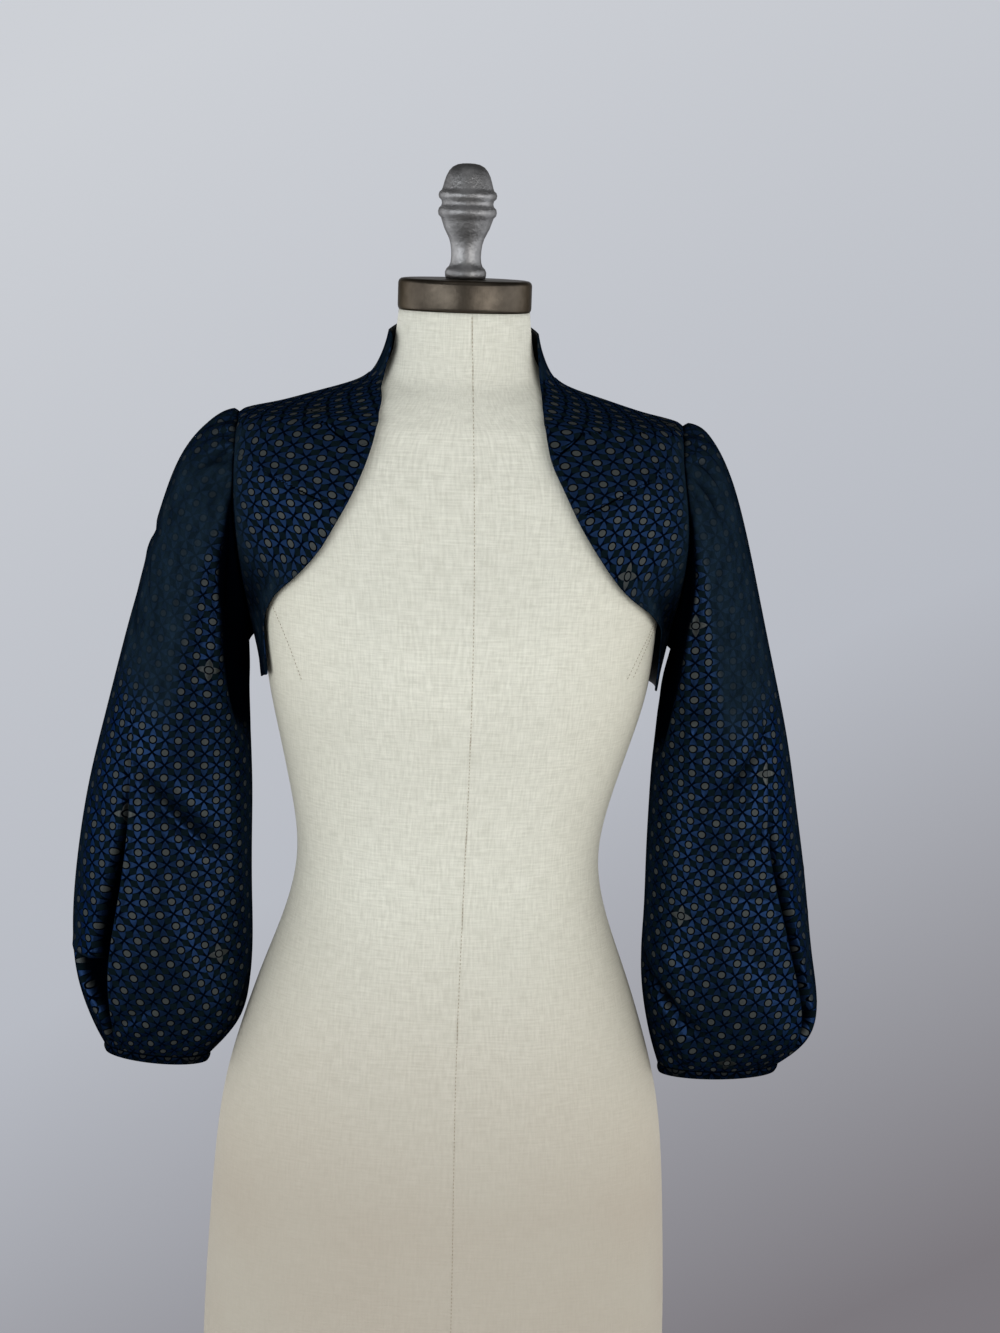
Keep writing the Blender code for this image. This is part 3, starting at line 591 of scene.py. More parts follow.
def edge_rows(side):
    """The front edge as angles and heights, from the side hem to the collar top."""
    rows = np.array(EDGE_ACROSS[side], float) * MM
    heights = np.linspace(rows[0, 1], rows[-1, 1], 24)
    across = spline(rows[:, 1], rows[:, :1], heights)[:, 0]
    section = GARMENT.section(GARMENT.station(heights))
    share = np.clip((across - section[:, 5] * SIDE_SIGN[side]) / section[:, 1], 0.0, 1.0)
    middle = np.stack([np.arccos(share ** (section[:, 4] / 2.0)), heights], -1)
    ends = [np.array(part[side], float) * np.array([math.pi / 180.0, MM]) for part in (EDGE_LOW, EDGE_NECK)]
    return np.concatenate([ends[0], middle, ends[1]])


def front_edge(side, share):
    """The hem and front edge in the body's own coordinates, from the side hem to the collar top."""
    rows = edge_rows(side)
    body = np.stack([-rows[:, 0], GARMENT.station(rows[:, 1])], -1)
    steps = np.linalg.norm(np.diff(body * np.array([0.13, 1.0]), axis=0), axis=1)
    knots = running(steps) / np.sum(steps)
    return spline(knots, body, share)


def along_line(start, end, share):
    """Points on a straight line between two pairs of body coordinates."""
    share = np.asarray(share)[..., None]
    return np.asarray(start) * (1.0 - share) + np.asarray(end) * share


def patch(u, v, left, right, bottom, top):
    """Coons patch: left and right run with v, bottom and top with u."""
    u1, v1 = u[..., None], v[..., None]
    zero, one = np.zeros_like(u), np.ones_like(u)
    sides = left(v) * (1.0 - u1) + right(v) * u1
    ends = bottom(u) * (1.0 - v1) + top(u) * v1
    low = left(zero) * (1.0 - u1) + right(zero) * u1
    high = left(one) * (1.0 - u1) + right(one) * u1
    return sides + ends - low * (1.0 - v1) - high * v1


def pull_to_armhole(points, side, turn, reach):
    """Moves body points out to the armhole seam where reach is 1, and leaves them where it is 0."""
    flat = armhole_on_body(side, turn)
    gap = armhole(side, turn) - GARMENT.point(flat[..., 0], flat[..., 1], side)
    return points + gap * reach[..., None]


def beside_run(points, run, steps, side, behind):
    """How far points lie from a straight run on the body, what share of it is nearest, and the place there.

    Behind is 1 on the back and -1 on the fronts.
    """
    share = np.linspace(0.0, 1.0, steps)
    angle = np.radians(run.angle_from + (run.angle_to - run.angle_from) * share) * behind
    height = (run.height_from + (run.height_to - run.height_from) * share) * MM
    line = GARMENT.point(angle, GARMENT.station(height), side)
    off = np.linalg.norm(points[..., None, :] - line, axis=-1)
    nearest = np.argmin(off, axis=-1)
    return off.min(axis=-1), share[nearest], line[nearest]


def body_fold_depth(points, folds, side, behind):
    """How far the body's soft folds press in."""
    depth = np.zeros(points.shape[:-1])
    for fold in folds:
        off, share, _ = beside_run(points, fold, FOLD_STEPS, side, behind)
        fade = np.sin(math.pi * (0.08 + 0.84 * share))
        depth += fold.depth * MM * fade * bell(off, fold.width * MM)
    return depth


def dart_lines(points, side, dart):
    """Distance above a dart's line, and how much of the dart is left there, 1 at its start."""
    off, share, place = beside_run(points, dart, DART_STEPS, side, -1.0)
    return np.sign(points[..., 2] - place[..., 2]) * off, 1.0 - share


def dart_depth(points, side):
    """How far each dart's seam presses in, with a small ridge above it."""
    depth = np.zeros(points.shape[:-1])
    for dart in DARTS[side]:
        above, left = dart_lines(points, side, dart)
        strength = ramp_line(0.0, 0.25, left)
        depth += DART_DEPTH * strength * bell(above, DART_WIDTH)
        depth -= DART_RIDGE * strength * bell(above - DART_RIDGE_AT, DART_RIDGE_WIDTH)
    return depth


def front_flat(side, u, v):
    """A front in the body's own coordinates: u from armhole to front edge, v from side seam to shoulder."""
    def left(share):
        return armhole_on_body(side, math.pi * (1.0 - share))

    def right(share):
        return front_edge(side, share)

    def bottom(share):
        return along_line(left(np.zeros(1))[0], right(np.zeros(1))[0], share)

    def top(share):
        return along_line(left(np.ones(1))[0], right(np.ones(1))[0], share)

    flat = patch(u, v, left, right, bottom, top)
    flat[..., 0] = np.minimum(flat[..., 0], 0.0)
    return flat


def armhole_dip(points, side, turn):
    """How far the armhole seam draws in the cloth beside it."""
    off = np.linalg.norm(points - armhole(side, turn), axis=-1)
    return SEAM_DIP * bell(off, SEAM_DIP_WIDTH)


def pressed_in(points, flat, side, inwards):
    """Body points moved in along the body's normals."""
    normal = GARMENT.outward(flat[..., 0], flat[..., 1], side)
    return points - normal * inwards[..., None]


def front_panel(side, u, v, creased=True):
    """A front on the +X side, with its darts and soft folds."""
    flat = front_flat(side, u, v)
    turn = math.pi * (1.0 - v)
    points = GARMENT.point(flat[..., 0], flat[..., 1], side)
    points = pull_to_armhole(points, side, turn, 1.0 - ramp(0.0, 0.75, u))
    if not creased:
        return points
    inwards = body_fold_depth(points, FRONT_FOLDS[side], side, -1.0) + dart_depth(points, side)
    inwards = inwards * ramp(0.0, 0.10, 1.0 - u) + armhole_dip(points, side, turn) * ramp(0.0, 0.1, v)
    return pressed_in(points, flat, side, inwards)


def back_turn(share):
    """The armhole's turn at a share of the back's height."""
    return TURN - math.pi * (1.0 - ramp_line(BACK_SIDE_SHARE, 1.0, share))


def back_flat(side, u, v):
    """Half the back in the body's own coordinates: u from side to middle, v from hem to neck."""
    def left(share):
        loop = armhole_on_body(side, back_turn(share))
        hem = np.array([0.0, GARMENT.station(SIDE_HEM)])
        underarm = armhole_on_body(side, np.array([math.pi]))[0]
        low = along_line(hem, underarm, share / BACK_SIDE_SHARE)
        return np.where((share < BACK_SIDE_SHARE)[..., None], low, loop)

    def right(share):
        low = [math.pi / 2.0, GARMENT.station(BACK_HEM_MIDDLE)]
        high = [math.pi / 2.0, GARMENT.station(BACK_NECK_MIDDLE)]
        return along_line(low, high, share)

    def bottom(share):
        height = SIDE_HEM + (BACK_HEM_MIDDLE - SIDE_HEM) * ramp(0.0, 1.0, share)
        return np.stack([share * math.pi / 2.0, GARMENT.station(height)], -1)

    def top(share):
        neck = np.array([0.0, GARMENT.station(NECK_POINT)])
        low = along_line(left(np.ones(1))[0], neck, share / BACK_SHOULDER_SHARE)
        sweep = ramp_line(BACK_SHOULDER_SHARE, 1.0, share)
        height = NECK_POINT + (BACK_NECK_MIDDLE - NECK_POINT) * ramp(0.0, 1.0, sweep)
        high = np.stack([sweep * math.pi / 2.0, GARMENT.station(height)], -1)
        return np.where((share < BACK_SHOULDER_SHARE)[..., None], low, high)

    flat = patch(u, v, left, right, bottom, top)
    flat[..., 0] = np.maximum(flat[..., 0], 0.0)
    return flat


def back_half(side, u, v, creased):
    """Half the back on the +X side, with its soft folds."""
    flat = back_flat(side, u, v)
    points = GARMENT.point(flat[..., 0], flat[..., 1], side)
    reach = (1.0 - ramp(0.0, 0.6, u)) * ramp(0.0, BACK_SIDE_SHARE, v)
    points = pull_to_armhole(points, side, back_turn(v), reach)
    if not creased:
        return points
    inwards = body_fold_depth(points, BACK_FOLDS, side, 1.0) * ramp(0.0, 0.12, u)
    inwards = inwards + armhole_dip(points, side, back_turn(v)) * ramp(0.17, 0.3, v)
    return pressed_in(points, flat, side, inwards)


def back_panel(u, v, creased=True):
    """The whole back: u from the wearer's left side to the right side."""
    across = np.abs(2.0 * u - 1.0)
    left = back_half("left", 1.0 - across, v, creased)
    right = back_half("right", 1.0 - across, v, creased)
    right[..., 0] *= -1.0
    return np.where((u < 0.5)[..., None], left, right)


def collar_strip(u, v, creased=True):
    """The back stretch of the stand collar, u from left shoulder to right, v up to its edge."""
    angle = u * math.pi
    rise = ramp(0.0, 1.0, np.sin(angle))
    seam_rise = ramp(0.0, 1.0, 1.0 - np.abs(2.0 * u - 1.0))
    low = NECK_POINT + (BACK_NECK_MIDDLE - NECK_POINT) * seam_rise
    high = COLLAR_TOP_SIDE + (COLLAR_TOP_BACK - COLLAR_TOP_SIDE) * rise
    points = GARMENT.point(angle, GARMENT.station(low + (high - low) * v))
    if creased:
        outward = unit(points * np.array([1.0, 1.0, 0.0]))
        points = points - outward * (COLLAR_DIP * bell(v, COLLAR_DIP_WIDTH))[..., None]
    return points


def sleeve_rings(side, turn):
    """Every ring of a sleeve at the turns given: rings first, then turns."""
    rings = [armhole(side, turn)]
    cos, sin = np.cos(turn)[..., None], np.sin(turn)[..., None]
    forward = np.array([0.0, -1.0, 0.0])
    for ring in SLEEVE_RINGS[side]:
        outer = np.array([ring.outer_x, 0.0, ring.outer_z]) * MM
        inner = np.array([ring.inner_x, 0.0, ring.inner_z]) * MM
        depth = np.where(sin > 0.0, ring.front, ring.back) * MM
        rings.append((outer + inner) / 2.0 + (outer - inner) / 2.0 * cos + forward * depth * sin)
    return np.stack(rings)


def ring_knots(side):
    """How far along the sleeve each ring lies, from 0 at the armhole to 1 at the cuff."""
    sample = sleeve_rings(side, np.linspace(0.0, TURN, 32, endpoint=False))
    steps = np.linalg.norm(np.diff(sample, axis=0), axis=-1).mean(axis=1)
    return running(steps) / np.sum(steps)


def sleeve_smooth(side, turn, along):
    """The sleeve without its folds, on the +X side."""
    knots = ring_knots(side)
    shares = spline(knots, np.eye(len(knots)), along)
    return np.einsum("...k,k...c->...c", shares, sleeve_rings(side, turn))


def sleeve_outward(side, turn, along):
    """Outward unit normals of the smooth sleeve."""
    step = 1e-3
    low, high = np.clip(along - step, 0.0, 1.0), np.clip(along + step, 0.0, 1.0)
    down = sleeve_smooth(side, turn, high) - sleeve_smooth(side, turn, low)
    across = sleeve_smooth(side, turn + step, along) - sleeve_smooth(side, turn - step, along)
    return unit(np.cross(across, down))


def pleat_at(side, along):
    """The pleat's angle in radians, and its slot's depth, overlap and width in millimetres."""
    rows = np.array(PLEAT[side], float)
    angle, depth, over, width = np.moveaxis(spline(rows[:, 0], rows[:, 1:], along), -1, 0)
    return np.radians(angle), np.maximum(depth, 0.0), np.maximum(over, 0.0), np.maximum(width, 5.0)


def sleeve_turn(side, share, along):
    """The turn of each column, from underarm to underarm, with columns crowded beside the pleat."""
    crowd, crowd_at = 0.6, math.radians(32.0)
    even = (share - 0.5) * TURN
    turn = even - crowd * (np.sin(even - crowd_at) - math.sin(crowd_at))
    lean = pleat_at(side, along)[0] - PLEAT_MIDDLE
    return turn + lean * bell(wrapped(turn - PLEAT_MIDDLE), PLEAT_LEAN_WIDTH)


def pleat_depth(side, turn, along):
    """How far the pleat's slot lies in, in millimetres, and how far its cloth slides under the fold."""
    pleat_turn, deep, over, width = pleat_at(side, along)
    behind = wrapped(pleat_turn - turn) * SLEEVE_RADIUS
    share = behind / width
    slot = plateau(*PLEAT_SLOT, share)
    slide = plateau(*PLEAT_SLIDE, share)
    rim = PLEAT_RIM * bell(behind + PLEAT_RIM_AT, PLEAT_RIM_WIDTH) * ramp(0.0, PLEAT_RIM_FULL, deep)
    return deep * slot - rim, over * slide


def corner_depth(side, turn, along):
    """The corner where the outer panel turns in: a raised lip and a deep place under it."""
    corner = CORNER[side]
    outer = wrapped(turn)
    from_pleat = outer - pleat_at(side, along)[0]
    down = ramp_line(corner.along_lip, corner.along_end, along)
    open_from = np.radians(corner.angle_lip + (corner.angle_end - corner.angle_lip) * down)
    full_to = corner.along_lip + CORNER_FULL * (corner.along_end - corner.along_lip)
    under = plateau(corner.along_lip, corner.along_lip + LIP_HEIGHT, full_to, corner.along_end, along)
    inside = ramp(0.0, CORNER_SLOPE, outer - open_from) * (1.0 - ramp(CORNER_BY_PLEAT, 0.0, from_pleat))
    lip = bell(along - corner.along_lip + LIP_ABOVE, LIP_HEIGHT)
    lip = lip * ramp(*LIP_TURN, outer) * (1.0 - ramp(LIP_BY_PLEAT, 0.0, from_pleat))
    return corner.depth * under * inside - corner.lip * lip


def crease_depth(side, turn, along):
    """How far the listed creases press in, in millimetres."""
    depth = np.zeros(np.broadcast(turn, along).shape)
    for crease in SLEEVE_CREASES[side]:
        start = np.array([math.radians(crease.angle_from) * SLEEVE_RADIUS, crease.along_from * SLEEVE_LENGTH])
        end = np.array([math.radians(crease.angle_to) * SLEEVE_RADIUS, crease.along_to * SLEEVE_LENGTH])
        middle = math.radians((crease.angle_from + crease.angle_to) / 2.0)
        place = np.stack([(wrapped(turn - middle) + middle) * SLEEVE_RADIUS, along * SLEEVE_LENGTH], -1)
        run = end - start
        share = np.clip(((place - start) @ run) / (run @ run), 0.0, 1.0)
        off = np.linalg.norm(place - start - share[..., None] * run, axis=-1)
        fade = np.sin(math.pi * (0.12 + 0.76 * share))
        depth += crease.depth * fade * bell(off, crease.width)
    return depth


def gather_depth(turn, along):
    """Small gathers of the sleeve head, and the dip of the armhole seam, in metres."""
    share = ramp_line(GATHER_FROM, GATHER_TO, wrapped(turn))
    window = np.sin(math.pi * share) ** 0.5
    uneven = share + GATHER_UNEVEN * np.sin(share * 17.0)
    ripple = np.cos(uneven * GATHER_COUNT * TURN)
    reach = GATHER_REACH * (0.75 + 0.25 * np.sin(share * 23.0))
    gathers = GATHER_DEPTH * window * ripple * bell(along, reach) * ramp(0.0, GATHER_START, along)
    seam = SEAM_DIP * bell(along * SLEEVE_LENGTH * MM, SEAM_DIP_WIDTH)
    return gathers + seam


def sleeve_fold_depth(side, turn, along):
    """How far the sleeve's pleat, corner and creases lie in, in millimetres."""
    inwards = pleat_depth(side, turn, along)[0] + crease_depth(side, turn, along)
    return (inwards + corner_depth(side, turn, along)) * plateau(*FOLDS_ALONG, along)


def sleeve(side, share, along, creased=True):
    """A sleeve on the +X side with its pleat and creases."""
    turn = sleeve_turn(side, share, along)
    if not creased:
        return sleeve_smooth(side, turn, along)
    inwards = sleeve_fold_depth(side, turn, along) * MM + gather_depth(turn, along)
    turn = turn + pleat_depth(side, turn, along)[1] / SLEEVE_RADIUS
    return sleeve_smooth(side, turn, along) - sleeve_outward(side, turn, along) * inwards[..., None]


def binding(side, share, down):
    """The narrow band round the sleeve's end."""
    turn = share * TURN
    last = sleeve_smooth(side, turn, np.ones_like(turn))
    before = sleeve_smooth(side, turn, np.full_like(turn, BINDING_BEFORE))
    fall = unit(unit(last - before) * (1.0 - BINDING_DROP) + np.array([0.0, 0.0, -BINDING_DROP]))
    outward = unit((last - last.mean(axis=0)) * np.array([1.0, 1.0, 0.0]))
    roll = BINDING_ROLL * np.sin(math.pi * down)
    return last + fall * (BINDING_START + BINDING_HEIGHT * down)[..., None] + outward * roll[..., None]


def worn(side, place):
    """A piece on its own side of the wearer."""
    def turned(u, v):
        points = place(u, v)
        points[..., 0] *= SIDE_SIGN[side]
        return points
    return turned


def neighbour_pairs(columns, rows):
    """Pairs of grid points that are beside each other, and those that are corner to corner."""
    index = np.arange(columns * rows).reshape(columns, rows)
    first = [index[:-1, :], index[:, :-1], index[:-1, :-1], index[:-1, 1:]]
    second = [index[1:, :], index[:, 1:], index[1:, 1:], index[1:, :-1]]
    weight = [np.full(part.size, share) for part, share in zip(first, (1.0, 1.0, 0.6, 0.6))]
    flat_first = np.concatenate([part.ravel() for part in first])
    flat_second = np.concatenate([part.ravel() for part in second])
    return flat_first, flat_second, np.concatenate(weight)


def lay_flat(points, start, rounds):
    """Lays a grid of cloth points flat, keeping the distances between neighbours as well as it can."""
    columns, rows = start.shape[:2]
    first, second, weight = neighbour_pairs(columns, rows)
    solid = points.reshape(-1, 3)
    rest = np.linalg.norm(solid[second] - solid[first], axis=1)
    flat = start.reshape(-1, 2).copy()
    size = len(flat)
    total = np.bincount(first, weight, size) + np.bincount(second, weight, size)
    for _ in range(rounds):
        gap = flat[second] - flat[first]
        length = np.maximum(np.linalg.norm(gap, axis=1), 1e-9)
        pull = gap * (weight * (1.0 - rest / length) * 0.5)[:, None]
        for axis in (0, 1):
            move = np.bincount(first, pull[:, axis], size) - np.bincount(second, pull[:, axis], size)
            flat[:, axis] += 1.5 * move / total
    return flat.reshape(columns, rows, 2)


class Layout:
    """A cloth piece laid flat: where each share of its grid lies, and the size of its cut."""

    def __init__(self, place, start, cut=UNTURNED, rounds=LAYOUT_ROUNDS):
        cos, sin = math.cos(math.radians(cut.turn)), math.sin(math.radians(cut.turn))
        self.grain = np.array([[cos, -sin], [sin, cos]])
        self.shift = np.array([cut.x, cut.y]) * MM
        self.u_knots = np.linspace(0.0, 1.0, LAYOUT_GRID[0])
        self.v_knots = np.linspace(0.0, 1.0, LAYOUT_GRID[1])
        u, v = np.meshgrid(self.u_knots, self.v_knots, indexing="ij")
        points = place(u.ravel(), v.ravel()).reshape(u.shape + (3,))
        self.flat = lay_flat(points, start(u, v), rounds)

    def read(self, u, v):
        """The flat place of shares of the grid, turned to the grain and moved to the print."""
        across = spline(self.u_knots, np.eye(len(self.u_knots)), u)
        up = spline(self.v_knots, np.eye(len(self.v_knots)), v)
        flat = np.einsum("pi,pj,ijc->pc", across, up, self.flat, optimize=True)
        return flat @ self.grain + self.shift

    def cut(self):
        """The cut's width and length, and its area."""
        width, length = np.ptp(self.flat.reshape(-1, 2), axis=0)
        one = self.flat[1:, 1:] - self.flat[:-1, :-1]
        two = self.flat[:-1, 1:] - self.flat[1:, :-1]
        area = np.abs(one[..., 0] * two[..., 1] - one[..., 1] * two[..., 0]).sum() / 2.0
        return (float(width), float(length)), float(area)


def new_object(name, data):
    """A named object in the scene."""
    made = bpy.data.objects.new(name, data)
    bpy.context.scene.collection.objects.link(made)
    return made


def add_piece(name, mesh, materials):
    """A named object of a mesh, smooth shaded, riding on the part's one body."""
    made = new_object(name, mesh)
    for finish in materials:
        mesh.materials.append(finish)
    mesh.polygons.foreach_set("use_smooth", [True] * len(mesh.polygons))
    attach(made, BODY)
    return made


def mesh_of(name, shape):
    """A mesh of a finished shape."""
    mesh = bpy.data.meshes.new(name)
    shape.to_mesh(mesh)
    shape.free()
    return mesh


def grid_sheet(name, grid, place, read_flat, marks, joined=False, flip=False):
    """A grid with its corners moved into place, its flat layout as UV map, and its named distances."""
    sheet = bmesh.new()
    bmesh.ops.create_grid(sheet, x_segments=grid[0], y_segments=grid[1], size=0.5)
    start = np.array([corner.co for corner in sheet.verts])
    u = np.round(np.clip(start[:, 0] + 0.5, 0.0, 1.0), 6)
    v = np.round(np.clip(start[:, 1] + 0.5, 0.0, 1.0), 6)
    points = place(u, v)
    flat = read_flat(u, v)
    grain = sheet.loops.layers.uv.new("grain")
    layers = [sheet.verts.layers.float.new(label) for label in marks]
    measures = np.stack([measure(u, v, points) for measure in marks.values()], -1)
    sheet.verts.ensure_lookup_table()
    for corner, moved, found in zip(sheet.verts, points, measures):
        corner.co = moved
        for layer, value in zip(layers, found):
            corner[layer] = value
    for face in sheet.faces:
        for loop in face.loops:
            loop[grain].uv = flat[loop.vert.index]
    if joined:
        bmesh.ops.remove_doubles(sheet, verts=sheet.verts, dist=1e-6)
    if flip:
        bmesh.ops.reverse_faces(sheet, faces=sheet.faces)
    mesh = mesh_of(name, sheet)
    if "up_facing" not in marks:
        facing = np.array([corner.normal.z for corner in mesh.vertices])
        mesh.attributes.new("up_facing", "FLOAT", "POINT").data.foreach_set("value", facing)
    return mesh


def far_from_edge(u, v, points):
    """Distance from a finished edge on a piece that has none."""
    return np.full(len(u), FAR_FROM_EDGE)


def nowhere(u, v, points):
    """A mark that no part of the piece has."""
    return np.zeros(len(u))


def cloth_marks(edge=far_from_edge, dart=far_from_edge, painted_shade=nowhere, painted_sheen_mark=nowhere):
    """What the satin reads: distance from the edge and above darts, painted shade in folds and shadowed
    places, and where a painted sheen covers the print.
    """
    return {"edge_distance": edge, "dart_distance": dart, "painted_shade": painted_shade, "painted_sheen_mark": painted_sheen_mark}


def sleeve_marks(side):
    """A sleeve's marks: painted shade in its folds and in the body's shadow, where a painted sheen covers its
    print, and how far it faces up.
    """
    def turned(u, v):
        return np.degrees(np.abs(wrapped(sleeve_turn(side, u, v))))

    def up_facing(u, v, points):
        return sleeve_outward(side, sleeve_turn(side, u, v), v)[..., 2]

    # Painted shade: deep folds, and the body's shadow on the inner sleeve, are marked to be darkened.
    def painted_shade(u, v, points):
        fold = ramp(*FOLD_SHADE, sleeve_fold_depth(side, sleeve_turn(side, u, v), v))
        past = turned(u, v) - np.interp(v, SHADE_ALONG, SHADE_TURN)
        return np.maximum(fold, ramp(-SHADE_SOFT, SHADE_SOFT, past) * (1.0 - ramp(*SHADE_END, v)))

    # Painted sheen: a dull sheen over the print, fixed in place on the outer, upper sleeve.
    def painted_sheen_mark(u, v, points):
        outer = 1.0 - ramp(*SHEEN_TURN, turned(u, v))
        head = 1.0 - SHEEN_LESS * ramp(*SHEEN_HEAD, up_facing(u, v, points))
        return outer * head * (1.0 - ramp(*SHEEN_ALONG, v))

    return {**cloth_marks(painted_shade=painted_shade, painted_sheen_mark=painted_sheen_mark), "up_facing": up_facing}


def band_shade(u, v, points):
    """A sleeve's band lies half in shade."""
    return np.full(len(u), BAND_SHADE)


def dart_distance(side, u, v, points):
    """Distance of a front's points above the nearest dart, under zero below it."""
    smooth = front_panel(side, u, v, creased=False)
    found = np.full(len(u), FAR_FROM_EDGE)
    for dart in DARTS[side]:
        above, _ = dart_lines(smooth, side, dart)
        found = np.where(np.abs(above) < np.abs(found), above, found)
    return found


def add_satin(node, mesh):
    """A satin piece: the sheet thickened about its middle, in place of its solid."""
    painted_sheen_strength = SLEEVE_PAINTED_SHEEN if node.startswith("sleeve") else 0.0
    finishes = (satin_material(painted_sheen_strength), wrong_side_material())
    made = add_piece(node + "_satin", mesh, finishes)
    thicken = made.modifiers.new("cloth thickness", "SOLIDIFY")
    thicken.thickness = bpy.context.scene.bolero_cloth.thickness
    thicken.offset = 0.0
    thicken.material_offset = 1
    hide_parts(node)
    return made


def add_cloth(node, mesh, layout):
    """A satin piece; the size and area of its cut are worked out but not used."""
    made = add_satin(node, mesh)
    flat, area = layout.cut()


def jump_at_darts(side, read_flat):
    """Lets the print jump at each dart, most at the dart's start."""
    def read(u, v):
        flat = read_flat(u, v)
        points = front_panel(side, u, v, creased=False)
        for dart in DARTS[side]:
            above, left = dart_lines(points, side, dart)
            step = 1.0 - ramp(-DART_JUMP_SOFT, DART_JUMP_SOFT, above)
            flat[:, 1] += dart.jump * MM * step * left * bell(above, DART_JUMP_REACH)
        return flat
    return read


class NodeBench:
    """Places and joins the nodes of one tree."""

    def __init__(self, tree):
        self.nodes = tree.nodes
        self.links = tree.links

    def feed(self, socket, value):
        """Joins a socket to a socket, or sets its value."""
        if isinstance(value, bpy.types.NodeSocket):
            self.links.new(value, socket)
        else:
            socket.default_value = value

    def set(self, name, value):
        """Feeds an input of the material's shader."""
        self.feed(self.nodes["Principled BSDF"].inputs[name], value)

    def add(self, kind, inputs=None, **settings):
        """The outputs of a new node, with its settings made and its inputs fed by name or number."""
        node = self.nodes.new(kind)
        for name, value in settings.items():
            setattr(node, name, value)
        for name, value in (inputs or {}).items():
            self.feed(node.inputs[name], value)
        return node.outputs

    def mark(self, name):
        """A named measure of the mesh."""
        return self.add("ShaderNodeAttribute", attribute_name=name)["Fac"]

    def place(self):
        """The object's own coordinates."""
        return self.add("ShaderNodeTexCoord")["Object"]

    def split(self, vector):
        """The parts of a vector."""
        return self.add("ShaderNodeSeparateXYZ", {0: vector})

    def math(self, operation, *values, clamp=False):
        """A Math node."""
        return self.add("ShaderNodeMath", dict(enumerate(values)), operation=operation, use_clamp=clamp)[0]

    def times(self, one, two):
        """A product."""
        return self.math("MULTIPLY", one, two)

    def plus(self, one, two, clamp=False):
        """A sum."""
        return self.math("ADD", one, two, clamp=clamp)

    def minus(self, one, two, clamp=False):
        """A difference."""
        return self.math("SUBTRACT", one, two, clamp=clamp)

    def times_plus(self, one, two, more, clamp=False):
        """A product with something added."""
        return self.math("MULTIPLY_ADD", one, two, more, clamp=clamp)

    def size(self, value):
        """A value without its sign."""
        return self.math("ABSOLUTE", value)

    def mix(self, share, low, high):
        """A mix of two colours."""
        return self.add("ShaderNodeMix", {"Factor": share, 6: low, 7: high}, data_type="RGBA")[2]

    def noise(self, vector, scale, detail=2.0, roughness=0.5):
        """Noise between about 0 and 1."""
        inputs = {"Vector": vector, "Scale": scale, "Detail": detail, "Roughness": roughness}
        return self.add("ShaderNodeTexNoise", inputs)["Fac"]

    def stretched(self, vector, scale):
        """Coordinates scaled."""
        return self.add("ShaderNodeMapping", {"Vector": vector, "Scale": scale})["Vector"]

    def under(self, value, limit, soft):
        """1 where a value is under a limit, with a soft edge."""
        return self.times_plus(self.minus(limit, value), 1.0 / soft, 0.5, clamp=True)

    def between(self, value, low, high):
        """A value brought from low..high to 0..1."""
        return self.add("ShaderNodeMapRange", {"Value": value, "From Min": low, "From Max": high})["Result"]

    def bump(self, height, distance, strength):
        """A Bump node's normal."""
        inputs = {"Height": height, "Distance": distance, "Strength": strength}
        return self.add("ShaderNodeBump", inputs)["Normal"]


def new_group(name, inputs, outputs):
    """A shader node group with named sockets, and its bench, input sockets and output node."""
    group = bpy.data.node_groups.new(name, "ShaderNodeTree")
    for label, kind in inputs:
        group.interface.new_socket(label, in_out="INPUT", socket_type=kind)
    for label, kind in outputs:
        group.interface.new_socket(label, in_out="OUTPUT", socket_type=kind)
    bench = NodeBench(group)
    return group, bench, bench.add("NodeGroupInput"), group.nodes.new("NodeGroupOutput")


def place_group(bench, group, **values):
    """A group's outputs, with its inputs fed by name."""
    return bench.add("ShaderNodeGroup", values, node_tree=group)


def flower_index_mask(bench, column, row):
    """1 on the dots whose petals are taupe: every sixth column and twelfth row, on a half drop."""
    masks = []
    for column_from, row_from in ((0.0, 0.0), (FLOWER_COLUMNS / 2, FLOWER_ROWS / 2)):
        across = bench.math("WRAP", bench.plus(column, column_from), FLOWER_COLUMNS - 0.5, -0.5)
        down = bench.math("WRAP", bench.plus(row, row_from), FLOWER_ROWS - 0.5, -0.5)
        across_on = bench.math("LESS_THAN", bench.size(across), 0.25)
        down_on = bench.math("LESS_THAN", bench.size(down), 0.25)
        masks.append(bench.times(across_on, down_on))
    return bench.plus(*masks, clamp=True)


